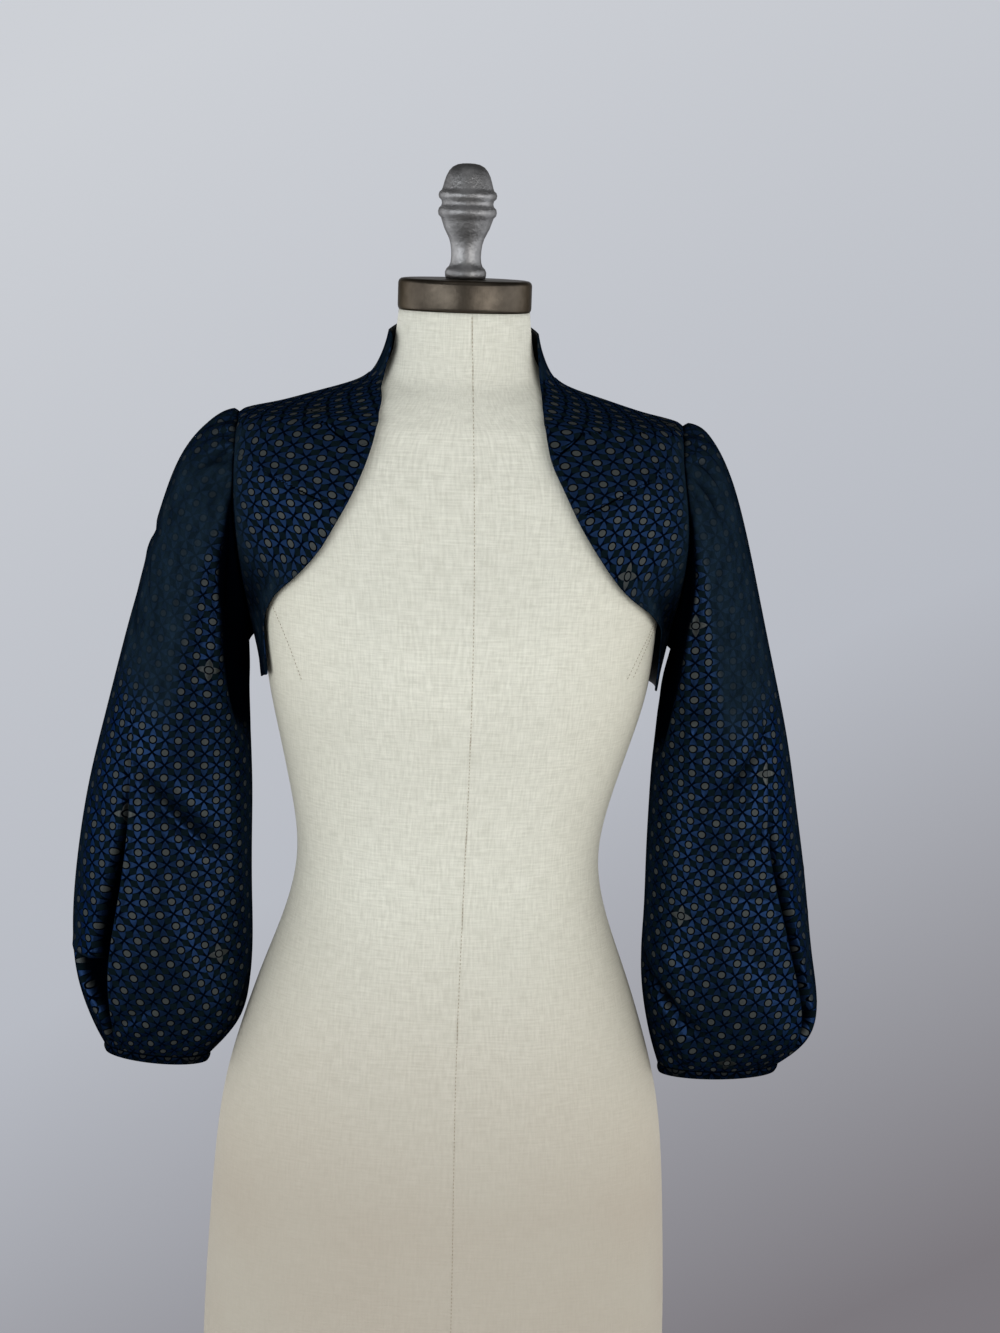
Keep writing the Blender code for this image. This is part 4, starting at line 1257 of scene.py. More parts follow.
def petal_repeat_group():
    """The print: a dot at each corner and centre of a square, four petals round it, squares between."""
    name = "petal and dot repeat"
    if name in bpy.data.node_groups:
        return bpy.data.node_groups[name]
    value = "NodeSocketFloat"
    outputs = [(label, value) for label in ("Petal", "Flower", "Dot", "Ring", "Square")]
    group, bench, into, out = new_group(name, [("Vector", "NodeSocketVector"), ("Repeat", value)], outputs)
    soft = 0.35
    dot_radius, ring_radius, petal_base, petal_length, petal_half = 2.4, 3.4, 3.0, 5.8, 2.45
    square_half = 2.5
    split = bench.split(into["Vector"])
    cell = bench.times(into["Repeat"], 1000.0)
    x = bench.math("DIVIDE", bench.times(split[0], 1000.0), cell)
    y = bench.math("DIVIDE", bench.times(split[1], 1000.0), cell)
    rising, falling = bench.plus(x, y), bench.minus(x, y)
    rising_dot, falling_dot = bench.math("ROUND", rising), bench.math("ROUND", falling)
    rising_off = bench.minus(rising, rising_dot)
    falling_off = bench.minus(falling, falling_dot)
    half = bench.times(cell, 0.5)
    across = bench.times(bench.size(bench.plus(rising_off, falling_off)), half)
    up = bench.times(bench.size(bench.minus(rising_off, falling_off)), half)
    far, near = bench.math("MAXIMUM", across, up), bench.math("MINIMUM", across, up)
    radius = bench.math("SQRT", bench.plus(bench.math("POWER", far, 2.0), bench.math("POWER", near, 2.0)))
    out_share = bench.math("DIVIDE", bench.minus(far, petal_base), petal_length)
    bend = bench.math("POWER", bench.math("MAXIMUM", out_share, 0.0), 2.0)
    half_width = bench.times(bench.minus(1.0, bend), petal_half)
    ring = bench.under(radius, ring_radius, soft)
    petal = bench.under(near, half_width, soft)
    petal = bench.times(petal, bench.minus(1.0, ring))
    petal = bench.times(petal, bench.under(far, petal_base + petal_length, soft))
    quarter = bench.times(cell, 0.25)
    square_off = bench.math("MAXIMUM", bench.size(bench.minus(across, quarter)),
                            bench.size(bench.minus(up, quarter)))
    column = bench.times(bench.plus(rising_dot, falling_dot), 0.5)
    row = bench.times(bench.minus(rising_dot, falling_dot), 0.5)
    flower = bench.times(flower_index_mask(bench, column, row), petal)
    bench.feed(out.inputs["Petal"], petal)
    bench.feed(out.inputs["Flower"], flower)
    bench.feed(out.inputs["Dot"], bench.under(radius, dot_radius, soft))
    bench.feed(out.inputs["Ring"], ring)
    bench.feed(out.inputs["Square"], bench.under(square_off, square_half, soft))
    return group


def plain_weave_group():
    """A plain weave: the threads' height, and longer and shorter uneven threads."""
    name = "plain weave"
    if name in bpy.data.node_groups:
        return bpy.data.node_groups[name]
    value = "NodeSocketFloat"
    group, bench, into, out = new_group(
        name, [("Vector", "NodeSocketVector"), ("Pitch", value)], [("Thread", value), ("Slub", value)])
    split = bench.split(into["Vector"])
    waves = []
    for axis in (0, 1):
        turns = bench.math("DIVIDE", split[axis], into["Pitch"])
        waves.append(bench.math("SINE", bench.times(turns, TURN)))
    thread = bench.times_plus(bench.times(*waves), 0.5, 0.5)
    upright = bench.noise(bench.stretched(into["Vector"], (1.0, 0.10, 1.0)), 680.0, 3.0, 0.6)
    level = bench.noise(bench.stretched(into["Vector"], (0.10, 1.0, 1.0)), 680.0, 3.0, 0.6)
    slub = bench.times_plus(bench.plus(upright, level), 0.5, 0.0)
    bench.feed(out.inputs["Thread"], thread)
    bench.feed(out.inputs["Slub"], slub)
    return group


def new_material(name):
    """A material and the bench of its nodes."""
    made = bpy.data.materials.new(name)
    made.use_nodes = True
    return made, NodeBench(made.node_tree)


def shade(colour, share=1.0):
    """A colour property, made lighter or darker, as a socket's value."""
    return (*(share * part for part in colour), 1.0)


def grain_vector(bench):
    """The cloth's own UV map, in metres along the grain."""
    return bench.add("ShaderNodeUVMap", uv_map="grain")["UV"]


def print_colour(bench, cloth, repeat, grain):
    """The ground with its squares, petals, flowers and ringed dots."""
    mottle = bench.noise(grain, 26.0, 2.0)
    ground = bench.mix(mottle, shade(cloth.ground, 0.75), shade(cloth.ground, 1.25))
    colour = bench.mix(repeat["Square"], ground, shade(cloth.square))
    colour = bench.mix(repeat["Petal"], colour, shade(cloth.petal))
    colour = bench.mix(repeat["Flower"], colour, shade(cloth.dot, 0.8))
    black_ring = bench.minus(repeat["Ring"], repeat["Dot"], clamp=True)
    colour = bench.mix(black_ring, colour, shade(cloth.ground, 0.3))
    return bench.mix(repeat["Dot"], colour, shade(cloth.dot))


def edge_marks(bench):
    """The stitched line beside a finished edge, and the edge's roll."""
    edge = bench.mark("edge_distance")
    line = bench.under(bench.size(bench.minus(edge, 3.2 * MM)), 0.7 * MM, 0.6 * MM)
    return line, bench.under(edge, 1.4 * MM, 1.2 * MM)


def dart_marks(bench, grain):
    """A dart's dark line, and the broken glint above it."""
    dart = bench.mark("dart_distance")
    line = bench.under(bench.size(dart), 0.85 * MM, 0.5 * MM)
    glint = bench.under(bench.size(bench.minus(dart, 1.1 * MM)), 0.35 * MM, 0.4 * MM)
    broken = bench.between(bench.noise(grain, 90.0, 2.0), 0.50, 0.62)
    return line, bench.times(glint, bench.times(broken, 0.55))


def painted_satin_sheen(bench, cloth, grain, painted_sheen_strength):
    """How far a painted sheen covers the print, and the sheen's colour, with painted shade where the cloth
    turns away or faces down.
    """
    turned_away = bench.add("ShaderNodeLayerWeight")["Facing"]
    up = bench.mark("up_facing")
    aside = bench.times(bench.between(turned_away, *(SLEEVE_ASIDE if painted_sheen_strength else BODY_ASIDE)), 0.9)
    aside = bench.times(aside, bench.between(up, 0.62, 0.38))
    painted_sheen = bench.math("MAXIMUM", aside, bench.times(bench.mark("painted_sheen_mark"), painted_sheen_strength))
    streaks = bench.noise(bench.stretched(grain, (1.0, 0.35, 1.0)), 130.0, 3.0, 0.6)
    dull = bench.mix(bench.between(streaks, 0.35, 0.75), shade(cloth.painted_sheen, 0.7), shade(cloth.painted_sheen, 1.5))
    # Painted shade: the sheen's colour darkens to the ground where the cloth turns away, and further where it
    # faces down.
    dull = bench.mix(bench.between(turned_away, 0.55, 0.92), dull, shade(cloth.ground))
    return painted_sheen, bench.mix(bench.between(up, -0.05, -0.45), dull, shade(cloth.ground, 0.5))


def satin_relief(bench, grain, petal, edge_line):
    """The satin's gloss and relief: fine threads, raised petals, a soft crumple and the line by the edge."""
    threads = bench.noise(bench.stretched(grain, (1.0, 0.12, 1.0)), 1500.0, 2.0)
    rough = bench.times_plus(petal, -0.10, 0.44)
    bench.set("Roughness", bench.times_plus(bench.minus(threads, 0.5), 0.16, rough))
    crumple = bench.noise(grain, 75.0, 3.0, 0.55)
    figure = bench.times_plus(petal, 0.10, bench.times(threads, 0.10))
    height = bench.times_plus(crumple, 0.9, figure)
    height = bench.times_plus(edge_line, -0.5, height)
    bench.set("Normal", bench.bump(height, 0.9 * MM, 0.8))


def satin_material(painted_sheen_strength):
    """The printed satin's right side. Painted sheen strength is how far a painted sheen covers its print
    where it is marked for it.
    """
    name = "printed_satin_sleeve" if painted_sheen_strength else "printed_satin_body"
    if name in bpy.data.materials:
        return bpy.data.materials[name]
    cloth = bpy.context.scene.bolero_cloth
    made, bench = new_material(name)
    grain = grain_vector(bench)
    repeat = place_group(bench, petal_repeat_group(), Vector=grain, Repeat=cloth.repeat)
    colour = print_colour(bench, cloth, repeat, grain)
    edge_line, edge_roll = edge_marks(bench)
    colour = bench.mix(bench.times(edge_roll, 0.35), colour, shade(cloth.ground, 3.0))
    dart_line, glint = dart_marks(bench, grain)
    colour = bench.mix(dart_line, colour, shade(cloth.ground, 0.2))
    colour = bench.mix(glint, colour, shade(cloth.petal, 2.0))
    painted_sheen, dull = painted_satin_sheen(bench, cloth, grain, painted_sheen_strength)
    # Painted shade: folds, the pleat's slot, the corner, the body's shadow and the bands darken to near black
    # and lose their shine.
    painted_shade = bench.mark("painted_shade")
    colour = bench.mix(painted_shade, bench.mix(painted_sheen, colour, dull), shade(cloth.ground, 0.4))
    bench.set("Base Color", colour)
    shine = bench.times(repeat["Petal"], SLEEVE_SHINE if painted_sheen_strength else BODY_SHINE)
    shine = bench.times_plus(repeat["Dot"], 0.30, shine, clamp=True)
    for dulled in (dart_line, painted_sheen, painted_shade):
        shine = bench.times(shine, bench.minus(1.0, dulled))
    bench.set("Metallic", shine)
    satin_relief(bench, grain, repeat["Petal"], edge_line)
    bench.set("Specular IOR Level", 0.0)
    bench.set("Specular Tint", (0.12, 0.15, 0.17, 1.0))
    return made


def wrong_side_material():
    """The satin's wrong side, plain and dark."""
    name = "printed_satin_wrong_side"
    if name in bpy.data.materials:
        return bpy.data.materials[name]
    cloth = bpy.context.scene.bolero_cloth
    made, bench = new_material(name)
    weave = place_group(bench, plain_weave_group(), Vector=grain_vector(bench), Pitch=0.5 * MM)
    pale = shade(cloth.inside, 1.8)
    bench.set("Base Color", bench.mix(weave["Slub"], shade(cloth.inside), pale))
    bench.set("Roughness", bench.times_plus(weave["Slub"], 0.3, 0.45))
    bench.set("Normal", bench.bump(weave["Slub"], 0.3 * MM, 0.5))
    return made


def linen_material():
    """The form's linen cover, with its centre seam, a faint stain, painted warm light at the sides and
    painted shade towards the bottom.
    """
    form = bpy.context.scene.bolero_form
    made, bench = new_material("cream_linen_cover")
    grain = grain_vector(bench)
    weave = place_group(bench, plain_weave_group(), Vector=grain, Pitch=form.weave)
    slub = bench.between(weave["Slub"], 0.38, 0.62)
    dark = shade(form.linen, 0.87)
    colour = bench.mix(slub, dark, shade(form.slub))
    split = bench.split(grain)
    # Painted light: the cover turns to a warm tint towards its sides, where warm light falls.
    aside = bench.between(bench.size(split[0]), 0.05, 0.21)
    colour = bench.mix(bench.times(aside, 0.45), colour, shade(form.painted_side_light))
    # Painted shade: the cover darkens towards the bottom, where less light falls.
    low = bench.minus(1.0, bench.between(split[1], 0.18, 0.44))
    colour = bench.mix(bench.times(low, 0.80), colour, shade(form.worn))
    tone = bench.between(bench.noise(grain, 7.0, 3.0), 0.35, 0.75)
    colour = bench.mix(bench.times(tone, 0.30), colour, shade(form.linen, 0.80))
    marks = bench.between(bench.noise(grain, 22.0, 5.0, 0.6), 0.68, 0.80)
    colour = bench.mix(bench.times(marks, 0.25), colour, (0.40, 0.34, 0.25, 1.0))
    seam = bench.mark("seam_distance")
    seam_line = bench.under(seam, 0.55 * MM, 0.7 * MM)
    colour = bench.mix(bench.times(seam_line, 0.40), colour, shade(form.thread))
    bench.set("Base Color", colour)
    bench.set("Roughness", bench.times_plus(slub, -0.10, 0.90))
    height = bench.times_plus(weave["Thread"], 0.35, bench.times(slub, 0.65))
    height = bench.times_plus(seam_line, -1.2, height)
    bench.set("Normal", bench.bump(height, 0.35 * MM, 0.7))
    bench.set("Specular IOR Level", 0.25)
    bench.set("Sheen Weight", 0.08)
    return made


def thread_material():
    """The thread of the form's seams."""
    form = bpy.context.scene.bolero_form
    made, bench = new_material("seam_thread")
    place = bench.place()
    tone = bench.noise(place, 400.0, 2.0)
    pale = shade(form.thread, 1.35)
    bench.set("Base Color", bench.mix(tone, shade(form.thread), pale))
    bench.set("Roughness", bench.times_plus(tone, 0.2, 0.65))
    return made


def aged_metal_material(name, colour, rough, pits, brushed):
    """Aged metal: uneven tone and gloss, dull marks, and small pits or fine brushing."""
    made, bench = new_material(name)
    place = bench.place()
    cloud = bench.noise(place, 45.0, 4.0, 0.6)
    fine = bench.noise(bench.stretched(place, (1.0, 1.0, brushed)), 900.0, 3.0)
    worn = bench.between(cloud, 0.36, 0.70)
    tone = bench.mix(worn, shade(colour, 0.70), shade(colour, 1.22))
    bench.set("Base Color", tone)
    bench.set("Metallic", 1.0)
    spread = bench.times_plus(bench.minus(cloud, 0.5), -0.35, rough)
    bench.set("Roughness", bench.times_plus(fine, 0.10, spread))
    pit = bench.between(bench.noise(place, 320.0, 3.0, 0.6), 0.30, 0.75)
    height = bench.times_plus(pit, pits, bench.times(fine, 0.25))
    bench.set("Normal", bench.bump(height, 0.5 * MM, 0.5))
    bench.set("Specular Tint", (0.45, 0.43, 0.40, 1.0))
    return made


def painted_metal_material():
    """The stand's black paint, with a faint orange-peel and uneven dust."""
    form = bpy.context.scene.bolero_form
    made, bench = new_material("stand_black_paint")
    place = bench.place()
    peel = bench.noise(place, 260.0, 2.0)
    cloud = bench.noise(place, 14.0, 4.0)
    dust = bench.times(bench.between(cloud, 0.45, 0.80), 0.25)
    bench.set("Base Color", bench.mix(dust, shade(form.stand), (0.10, 0.10, 0.095, 1.0)))
    bench.set("Roughness", bench.times_plus(cloud, 0.25, 0.28))
    bench.set("Normal", bench.bump(peel, 0.25 * MM, 0.35))
    return made


def front_distance(side, u, v, points):
    """Distance of a front's points from its finished edge, measured level across the panel."""
    steps = np.linspace(0.0, 1.0, 40)
    rows = np.unique(v)
    across, up = np.meshgrid(steps, rows, indexing="ij")
    line = front_panel(side, across.ravel(), up.ravel(), creased=False).reshape(across.shape + (3,))
    length = np.linalg.norm(np.diff(line, axis=0), axis=-1)
    left = np.concatenate([np.cumsum(length[::-1], axis=0)[::-1], np.zeros((1, len(rows)))])
    column = np.clip(u * (len(steps) - 1), 0.0, len(steps) - 1.000001)
    low = column.astype(int)
    part = column - low
    row = np.searchsorted(rows, v)
    return left[low, row] * (1.0 - part) + left[low + 1, row] * part


def hem_distance(u, v, points):
    """Distance of the back's points from its hem."""
    return np.minimum(v * BACK_LENGTH, FAR_FROM_EDGE)


def collar_distance(u, v, points):
    """Distance of the collar's points from its upper edge."""
    return (1.0 - v) * COLLAR_HEIGHT


def front_start(side, u, v):
    """A front's first guess at how it lies flat."""
    return front_flat(side, u, v) * np.array([-BODY_RADIUS, 1.0])


def back_start(u, v):
    """The back's first guess at how it lies flat."""
    flat = back_flat("left", 1.0 - np.abs(2.0 * u - 1.0), v)
    far = (math.pi / 2.0 - flat[..., 0]) * BODY_RADIUS
    return np.stack([np.sign(u - 0.5) * far, flat[..., 1]], -1)


def collar_start(u, v):
    """The collar's first guess at how it lies flat."""
    return np.stack([(u - 0.5) * math.pi * NECK_RADIUS, v * COLLAR_HEIGHT], -1)


def sleeve_start(side, u, v):
    """A sleeve's first guess at how it lies flat."""
    height = sleeve(side, u.ravel(), v.ravel(), creased=False)[:, 2].reshape(u.shape)
    return np.stack([sleeve_turn(side, u, v) * SLEEVE_RADIUS * MM, height * SLEEVE_SLANT], -1)


def band_start(u, v):
    """A sleeve band's first guess at how it lies flat."""
    return np.stack([u * TURN * BAND_RADIUS, v * BINDING_HEIGHT], -1)


class BOLERO_OT_fronts(bpy.types.Operator):
    """Both fronts with their grown-on stand collar, darts and turned edges"""

    bl_idname = "bolero.fronts"
    bl_label = "Fronts"

    def execute(self, context):
        for side in SIDES:
            node = "front_" + side
            place = partial(front_panel, side)
            smooth = partial(place, creased=False)
            layout = Layout(smooth, partial(front_start, side), PRINTS[node], FRONT_ROUNDS)
            read_flat = jump_at_darts(side, layout.read)
            marks = cloth_marks(partial(front_distance, side), partial(dart_distance, side))
            flip = side == "left"
            mesh = grid_sheet(node + "_satin", FRONT_GRID, worn(side, place), read_flat, marks, flip=flip)
            add_cloth(node, mesh, layout)
        return {"FINISHED"}


class BOLERO_OT_back(bpy.types.Operator):
    """The back, in one piece from side seam to side seam"""

    bl_idname = "bolero.back"
    bl_label = "Back"

    def execute(self, context):
        layout = Layout(partial(back_panel, creased=False), back_start, PRINTS["back"])
        mesh = grid_sheet("back_satin", BACK_GRID, back_panel, layout.read, cloth_marks(hem_distance))
        add_cloth("back", mesh, layout)
        return {"FINISHED"}


class BOLERO_OT_collar(bpy.types.Operator):
    """The back stretch of the stand collar"""

    bl_idname = "bolero.collar"
    bl_label = "Collar"

    def execute(self, context):
        layout = Layout(partial(collar_strip, creased=False), collar_start)
        marks = cloth_marks(collar_distance)
        mesh = grid_sheet("collar_satin", COLLAR_GRID, collar_strip, layout.read, marks)
        add_cloth("collar", mesh, layout)
        return {"FINISHED"}


class BOLERO_OT_sleeves(bpy.types.Operator):
    """Both balloon sleeves, with the long pleat, the turned-in corner, gathers and creases"""

    bl_idname = "bolero.sleeves"
    bl_label = "Sleeves"

    def execute(self, context):
        for side in SIDES:
            node = "sleeve_" + side
            place = partial(sleeve, side)
            layout = Layout(partial(place, creased=False), partial(sleeve_start, side), PRINTS[node])
            marks = sleeve_marks(side)
            mesh = grid_sheet(node + "_satin", SLEEVE_GRID, worn(side, place), layout.read, marks,
                              joined=True, flip=side == "right")
            add_cloth(node, mesh, layout)
        return {"FINISHED"}


class BOLERO_OT_sleeve_bands(bpy.types.Operator):
    """The narrow bound edge of each sleeve"""

    bl_idname = "bolero.sleeve_bands"
    bl_label = "Sleeve bands"

    def execute(self, context):
        for side in SIDES:
            node = "sleeve_band_" + side
            place = partial(binding, side)
            layout = Layout(place, band_start)
            marks = cloth_marks(painted_shade=band_shade)
            mesh = grid_sheet(node + "_satin", BAND_GRID, worn(side, place), layout.read, marks,
                              joined=True, flip=side == "right")
            add_satin(node, mesh)
        return {"FINISHED"}


def torso(u, v):
    """The dress form, u once round from the back, v from the bottom to the neck."""
    return FORM.point(u * TURN + math.pi / 2.0, v * FORM.length)


def torso_grain(u, v):
    """The cover's threads: the distance round at each height, and the length up the side."""
    row = FORM.section(v * FORM.length)
    radius = (row[:, 1] * 2.0 + row[:, 2] + row[:, 3]) / 4.0
    return np.stack([(u - 0.5) * TURN * radius, v * FORM.length], -1)


def centre_seam_x(height):
    """The centre seam's distance to the wearer's left at a height."""
    rows = np.array(CENTRE_SEAM, float) * MM
    return spline(rows[:, 0], rows[:, 1:], height)[..., 0]


def centre_seam_distance(u, v, points):
    """Distance of the form's points from its centre seam, on the front."""
    off = np.abs(points[:, 0] - centre_seam_x(points[:, 2]))
    return np.where(points[:, 1] < 0.0, off, FAR_FROM_EDGE)


def close_ends(mesh):
    """Closes the open ends of a tube with a flat face each, and turns every face outwards."""
    tube = bmesh.new()
    tube.from_mesh(mesh)
    rims = [edge for edge in tube.edges if edge.is_boundary]
    bmesh.ops.holes_fill(tube, edges=rims, sides=0)
    bmesh.ops.recalc_face_normals(tube, faces=tube.faces)
    tube.to_mesh(mesh)
    tube.free()


class BOLERO_OT_torso(bpy.types.Operator):
    """The limbless dress form with its linen cover"""

    bl_idname = "bolero.torso"
    bl_label = "Dress form"

    def execute(self, context):
        marks = {"seam_distance": centre_seam_distance}
        mesh = grid_sheet("torso_linen", TORSO_GRID, torso, torso_grain, marks, joined=True)
        close_ends(mesh)
        made = add_piece("torso_linen", mesh, (linen_material(),))
        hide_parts("torso")
        return {"FINISHED"}


def surface_line(hull, angles, heights, side):
    """Points along a line on a hull, and the outward direction at each."""
    stations = hull.station(heights)
    points = hull.point(angles, stations, side)
    normals = hull.outward(angles, stations, side)
    if side == "right":
        points[:, 0] *= -1.0
        normals[:, 0] *= -1.0
    return points, normals


def line_at(at, length, rows):
    """What a line's rows come to at a distance along it."""
    return Vector([np.interp(at, length, rows[:, axis]) for axis in range(3)])


def stitch_row(stitches, points, normals):
    """Adds evenly spaced stitches along a line of points."""
    steps = np.linalg.norm(np.diff(points, axis=0), axis=1)
    length = running(steps)
    for at in np.arange(STITCH_PITCH / 2.0, length[-1], STITCH_PITCH):
        middle = line_at(at, length, points)
        ahead = line_at(at + STITCH_PITCH, length, points)
        up = line_at(at, length, normals).normalized()
        run = (ahead - middle).normalized()
        if run.length < 0.5:
            continue
        side = up.cross(run).normalized()
        turn = Matrix((run, side, run.cross(side))).transposed().to_4x4()
        size = Matrix.Diagonal((STITCH_LENGTH / 2.0, STITCH_WIDTH / 2.0, STITCH_WIDTH / 2.0, 1.0))
        place = Matrix.Translation(middle + up * STITCH_LIFT)
        bmesh.ops.create_icosphere(stitches, subdivisions=1, radius=1.0, matrix=place @ turn @ size)


def add_stitches(name, lines):
    """One piece of all the stitches along some lines."""
    stitches = bmesh.new()
    for points, normals in lines:
        stitch_row(stitches, points, normals)
    mesh = mesh_of(name, stitches)
    finish = bpy.data.materials.get("seam_thread") or thread_material()
    return add_piece(name, mesh, (finish,))


def centre_seam_line():
    """The centre seam on the form's front."""
    heights = np.linspace(545.0, 1405.0, 320) * MM
    stations = FORM.station(heights)
    row = FORM.section(stations)
    share = np.clip((centre_seam_x(heights) - row[:, 5]) / row[:, 1], 0.0, 1.0)
    angles = -np.arccos(share ** (row[:, 4] / 2.0))
    return surface_line(FORM, angles, heights, "left")


def bust_dart_line(side, aside):
    """A bust dart on the form, moved aside by some degrees."""
    rows = np.array(BUST_DARTS[side], float)
    share = np.linspace(0.0, 1.0, len(rows))
    found = spline(share, rows, np.linspace(0.0, 1.0, 60))
    return surface_line(FORM, -np.radians(found[:, 0] + aside), found[:, 1] * MM, side)


class BOLERO_OT_form_stitches(bpy.types.Operator):
    """The stitches of the form's centre seam and bust darts"""

    bl_idname = "bolero.form_stitches"
    bl_label = "Form stitches"

    def execute(self, context):
        add_stitches("centre_seam_stitches", [centre_seam_line()])
        add_stitches("bust_dart_stitches_right", [bust_dart_line("right", 0.0)])
        doubled = [bust_dart_line("left", 0.0), bust_dart_line("left", BUST_DART_DOUBLE)]
        add_stitches("bust_dart_stitches_left", doubled)
        return {"FINISHED"}


def add_turned(name, outline, node, finish):
    """A turned piece: its outline spun once round the upright axis, in place of its solid."""
    turned = bmesh.new()
    corners = [turned.verts.new((row.radius * MM, 0.0, row.height * MM)) for row in outline]
    edges = [turned.edges.new(pair) for pair in zip(corners, corners[1:])]
    bmesh.ops.spin(turned, geom=corners + edges, cent=(0.0, 0.0, 0.0), axis=(0.0, 0.0, 1.0), angle=TURN,
                   steps=TURNED_STEPS, use_merge=True)
    bmesh.ops.remove_doubles(turned, verts=turned.verts, dist=1e-6)
    bmesh.ops.recalc_face_normals(turned, faces=turned.faces)
    mesh = mesh_of(name, turned)
    made = add_piece(name, mesh, (finish,))
    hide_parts(node)
    return made


class BOLERO_OT_neck_metal(bpy.types.Operator):
    """The neck cap and the turned finial"""

    bl_idname = "bolero.neck_metal"
    bl_label = "Neck cap and finial"

    def execute(self, context):
        form = context.scene.bolero_form
        cap = aged_metal_material("aged_nickel_cap", form.cap, 0.30, 0.25, 0.05)
        cast = aged_metal_material("cast_pewter_finial", form.finial, 0.40, 1.0, 1.0)
        add_turned("neck_cap_metal", CAP_OUTLINE, "neck_cap", cap)
        add_turned("finial_metal", FINIAL_OUTLINE, "finial", cast)
        return {"FINISHED"}


class BOLERO_OT_stand(bpy.types.Operator):
    """The pole, its socket and the round base"""

    bl_idname = "bolero.stand"
    bl_label = "Stand"

    def execute(self, context):
        paint = painted_metal_material()
        add_turned("pole_painted", POLE_OUTLINE, "pole", paint)
        add_turned("pole_socket_painted", SOCKET_OUTLINE, "pole_socket", paint)
        add_turned("base_painted", BASE_OUTLINE, "base", paint)
        return {"FINISHED"}


def add_floor():
    """A plain pale round floor."""
    stage = bpy.context.scene.bolero_stage
    disc = bmesh.new()
    bmesh.ops.create_circle(disc, cap_ends=True, segments=128, radius=FLOOR_RADIUS)
    mesh = mesh_of("floor", disc)
    made = new_object("floor", mesh)
    finish, bench = new_material("floor_paint")
    place = bench.place()
    tone = bench.noise(place, 5.0, 3.0)
    pale = shade(stage.floor, 1.05)
    bench.set("Base Color", bench.mix(tone, shade(stage.floor), pale))
    bench.set("Roughness", 0.8)
    mesh.materials.append(finish)


def set_background():
    """A plain wall that darkens to the lower right behind the object, bright sides and a dim room."""
    stage = bpy.context.scene.bolero_stage
    world = bpy.data.worlds.new("studio")
    world.use_nodes = True
    bpy.context.scene.world = world
    bench = NodeBench(world.node_tree)
    split = bench.split(bench.add("ShaderNodeTexCoord")["Generated"])
    slope = bench.times_plus(split[0], -0.5, split[2])
    wall = bench.mix(bench.between(slope, -0.42, -0.20), shade(stage.wall_dark), shade(stage.wall_middle))
    wall = bench.mix(bench.between(slope, -0.20, 0.10), wall, shade(stage.wall_light))
    aside = bench.between(bench.size(split[0]), 0.30, 0.60)
    wall = bench.mix(aside, wall, shade(stage.wall_middle))
    behind = bench.between(split[1], -0.15, 0.35)
    colour = bench.mix(behind, shade(stage.room), wall)
    beside = bench.between(bench.size(split[0]), 0.62, 0.86)
    colour = bench.mix(beside, colour, shade(stage.side_walls))
    colour = bench.mix(bench.between(split[2], 0.28, 0.48), colour, shade(stage.ceiling))
    bench.feed(world.node_tree.nodes["Background"].inputs["Color"], colour)


def add_light(name, place, target, power, width, height, colour):
    """A soft rectangular light that faces a target."""
    lamp = bpy.data.lights.new(name, "AREA")
    lamp.shape = "RECTANGLE"
    lamp.size = width
    lamp.size_y = height
    lamp.energy = power
    lamp.color = colour
    made = new_object(name, lamp)
    made.location = place
    made.rotation_mode = "QUATERNION"
    made.rotation_quaternion = (Vector(target) - Vector(place)).to_track_quat("-Z", "Y")


def add_camera():
    """The camera at the photograph's angle."""
    lens = bpy.data.cameras.new("camera")
    lens.lens = CAMERA_LENS
    made = new_object("camera", lens)
    tilt = Matrix.Rotation(math.pi / 2.0 - CAMERA_DOWN, 4, "X") @ Matrix.Rotation(CAMERA_LEAN, 4, "Z")
    made.matrix_world = Matrix.Translation(CAMERA_PLACE) @ tilt
    bpy.context.scene.camera = made


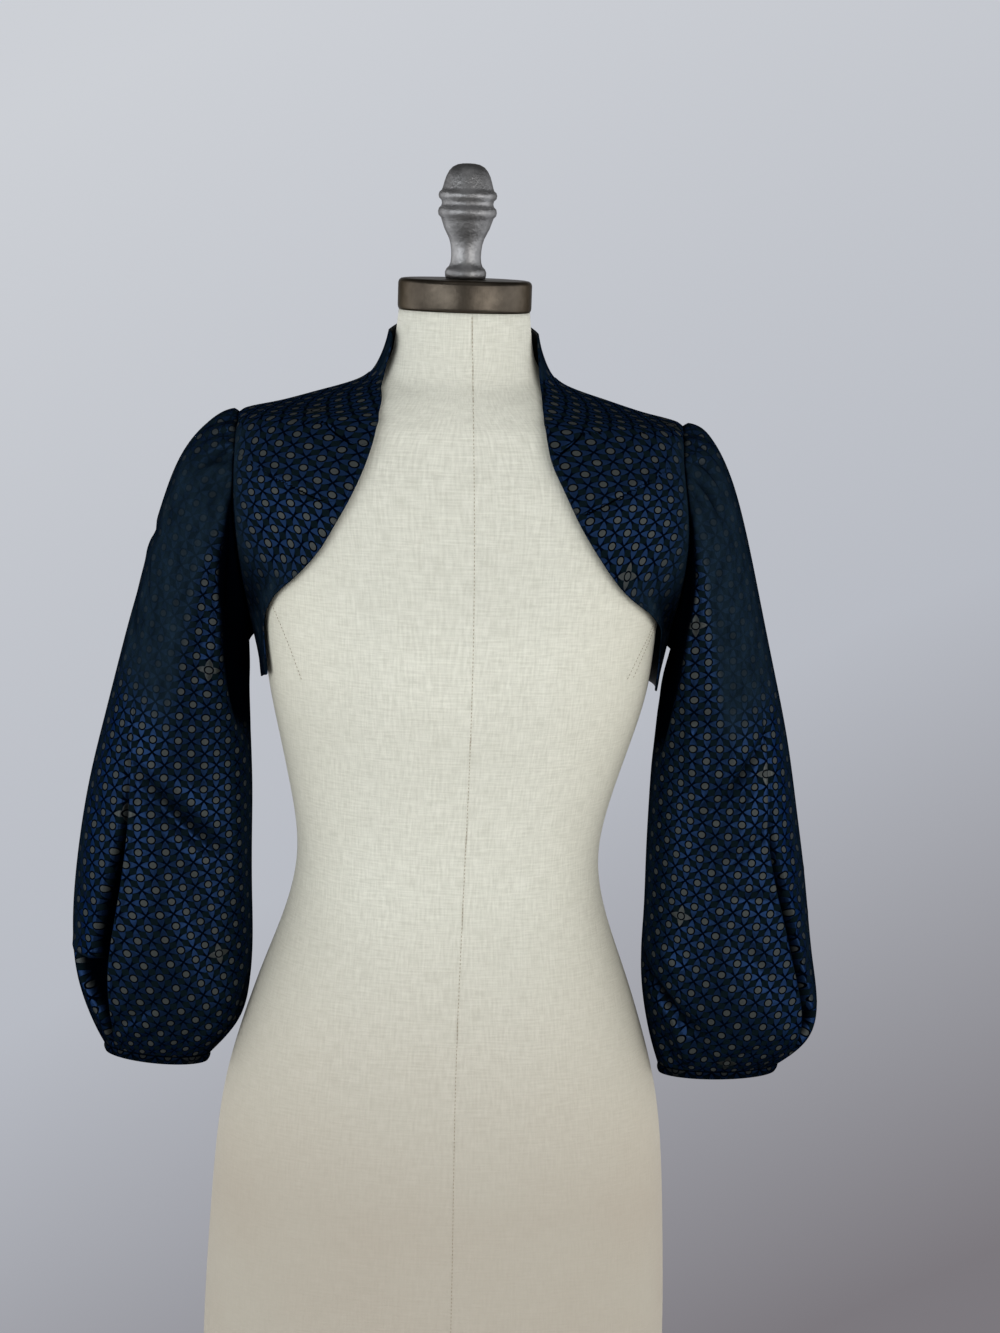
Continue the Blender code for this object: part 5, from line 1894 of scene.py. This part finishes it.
class BOLERO_OT_stage(bpy.types.Operator):
    """The plain floor and background, soft studio lights and the camera"""

    bl_idname = "bolero.stage"
    bl_label = "Studio"

    def execute(self, context):
        stage = context.scene.bolero_stage
        chest = (0.0, 0.0, 1.15)
        context.scene.view_settings.view_transform = "Standard"
        add_floor()
        set_background()
        add_light("right window", (-1.55, -2.15, 1.45), chest, stage.right, 2.2, 1.7, (0.95, 0.98, 1.0))
        add_light("left window", (1.55, -2.10, 1.45), chest, stage.left, 2.2, 1.7, (1.0, 0.985, 0.96))
        add_light("top", (0.0, -0.7, 3.1), chest, stage.top, 1.8, 1.4, (1.0, 1.0, 1.0))
        add_camera()
        return {"FINISHED"}


OPERATORS = (
    BOLERO_OT_stage,
    BOLERO_OT_torso,
    BOLERO_OT_form_stitches,
    BOLERO_OT_neck_metal,
    BOLERO_OT_stand,
    BOLERO_OT_fronts,
    BOLERO_OT_back,
    BOLERO_OT_collar,
    BOLERO_OT_sleeve_bands,
    BOLERO_OT_sleeves,
)
SETTINGS = {
    "bolero_cloth": BoleroCloth,
    "bolero_form": BoleroForm,
    "bolero_stage": BoleroStage,
}


class BOLERO_PT_panel(bpy.types.Panel):
    """Sizes, colours and the pieces in the order they are made"""

    bl_idname = "BOLERO_PT_panel"
    bl_label = "Bolero on a dress form"
    bl_space_type = "VIEW_3D"
    bl_region_type = "UI"
    bl_category = "Bolero"

    def draw(self, context):
        for name, settings in SETTINGS.items():
            box = self.layout.box()
            for label in settings.__annotations__:
                box.prop(getattr(context.scene, name), label)
        for operator in OPERATORS:
            self.layout.operator(operator.bl_idname)


def register():
    """Makes the settings, operators and panel known to Blender."""
    for name, settings in SETTINGS.items():
        bpy.utils.register_class(settings)
        setattr(bpy.types.Scene, name, PointerProperty(type=settings))
    for made in (*OPERATORS, BOLERO_PT_panel):
        bpy.utils.register_class(made)


def unregister():
    """Takes the settings, operators and panel out again."""
    for made in (BOLERO_PT_panel, *reversed(OPERATORS)):
        bpy.utils.unregister_class(made)
    for name, settings in SETTINGS.items():
        delattr(bpy.types.Scene, name)
        bpy.utils.unregister_class(settings)


def main():
    """Builds every piece over the frame."""
    register()
    for operator in OPERATORS:
        group, name = operator.bl_idname.split(".")
        getattr(getattr(bpy.ops, group), name)()


if __name__ == "__main__":
    main()
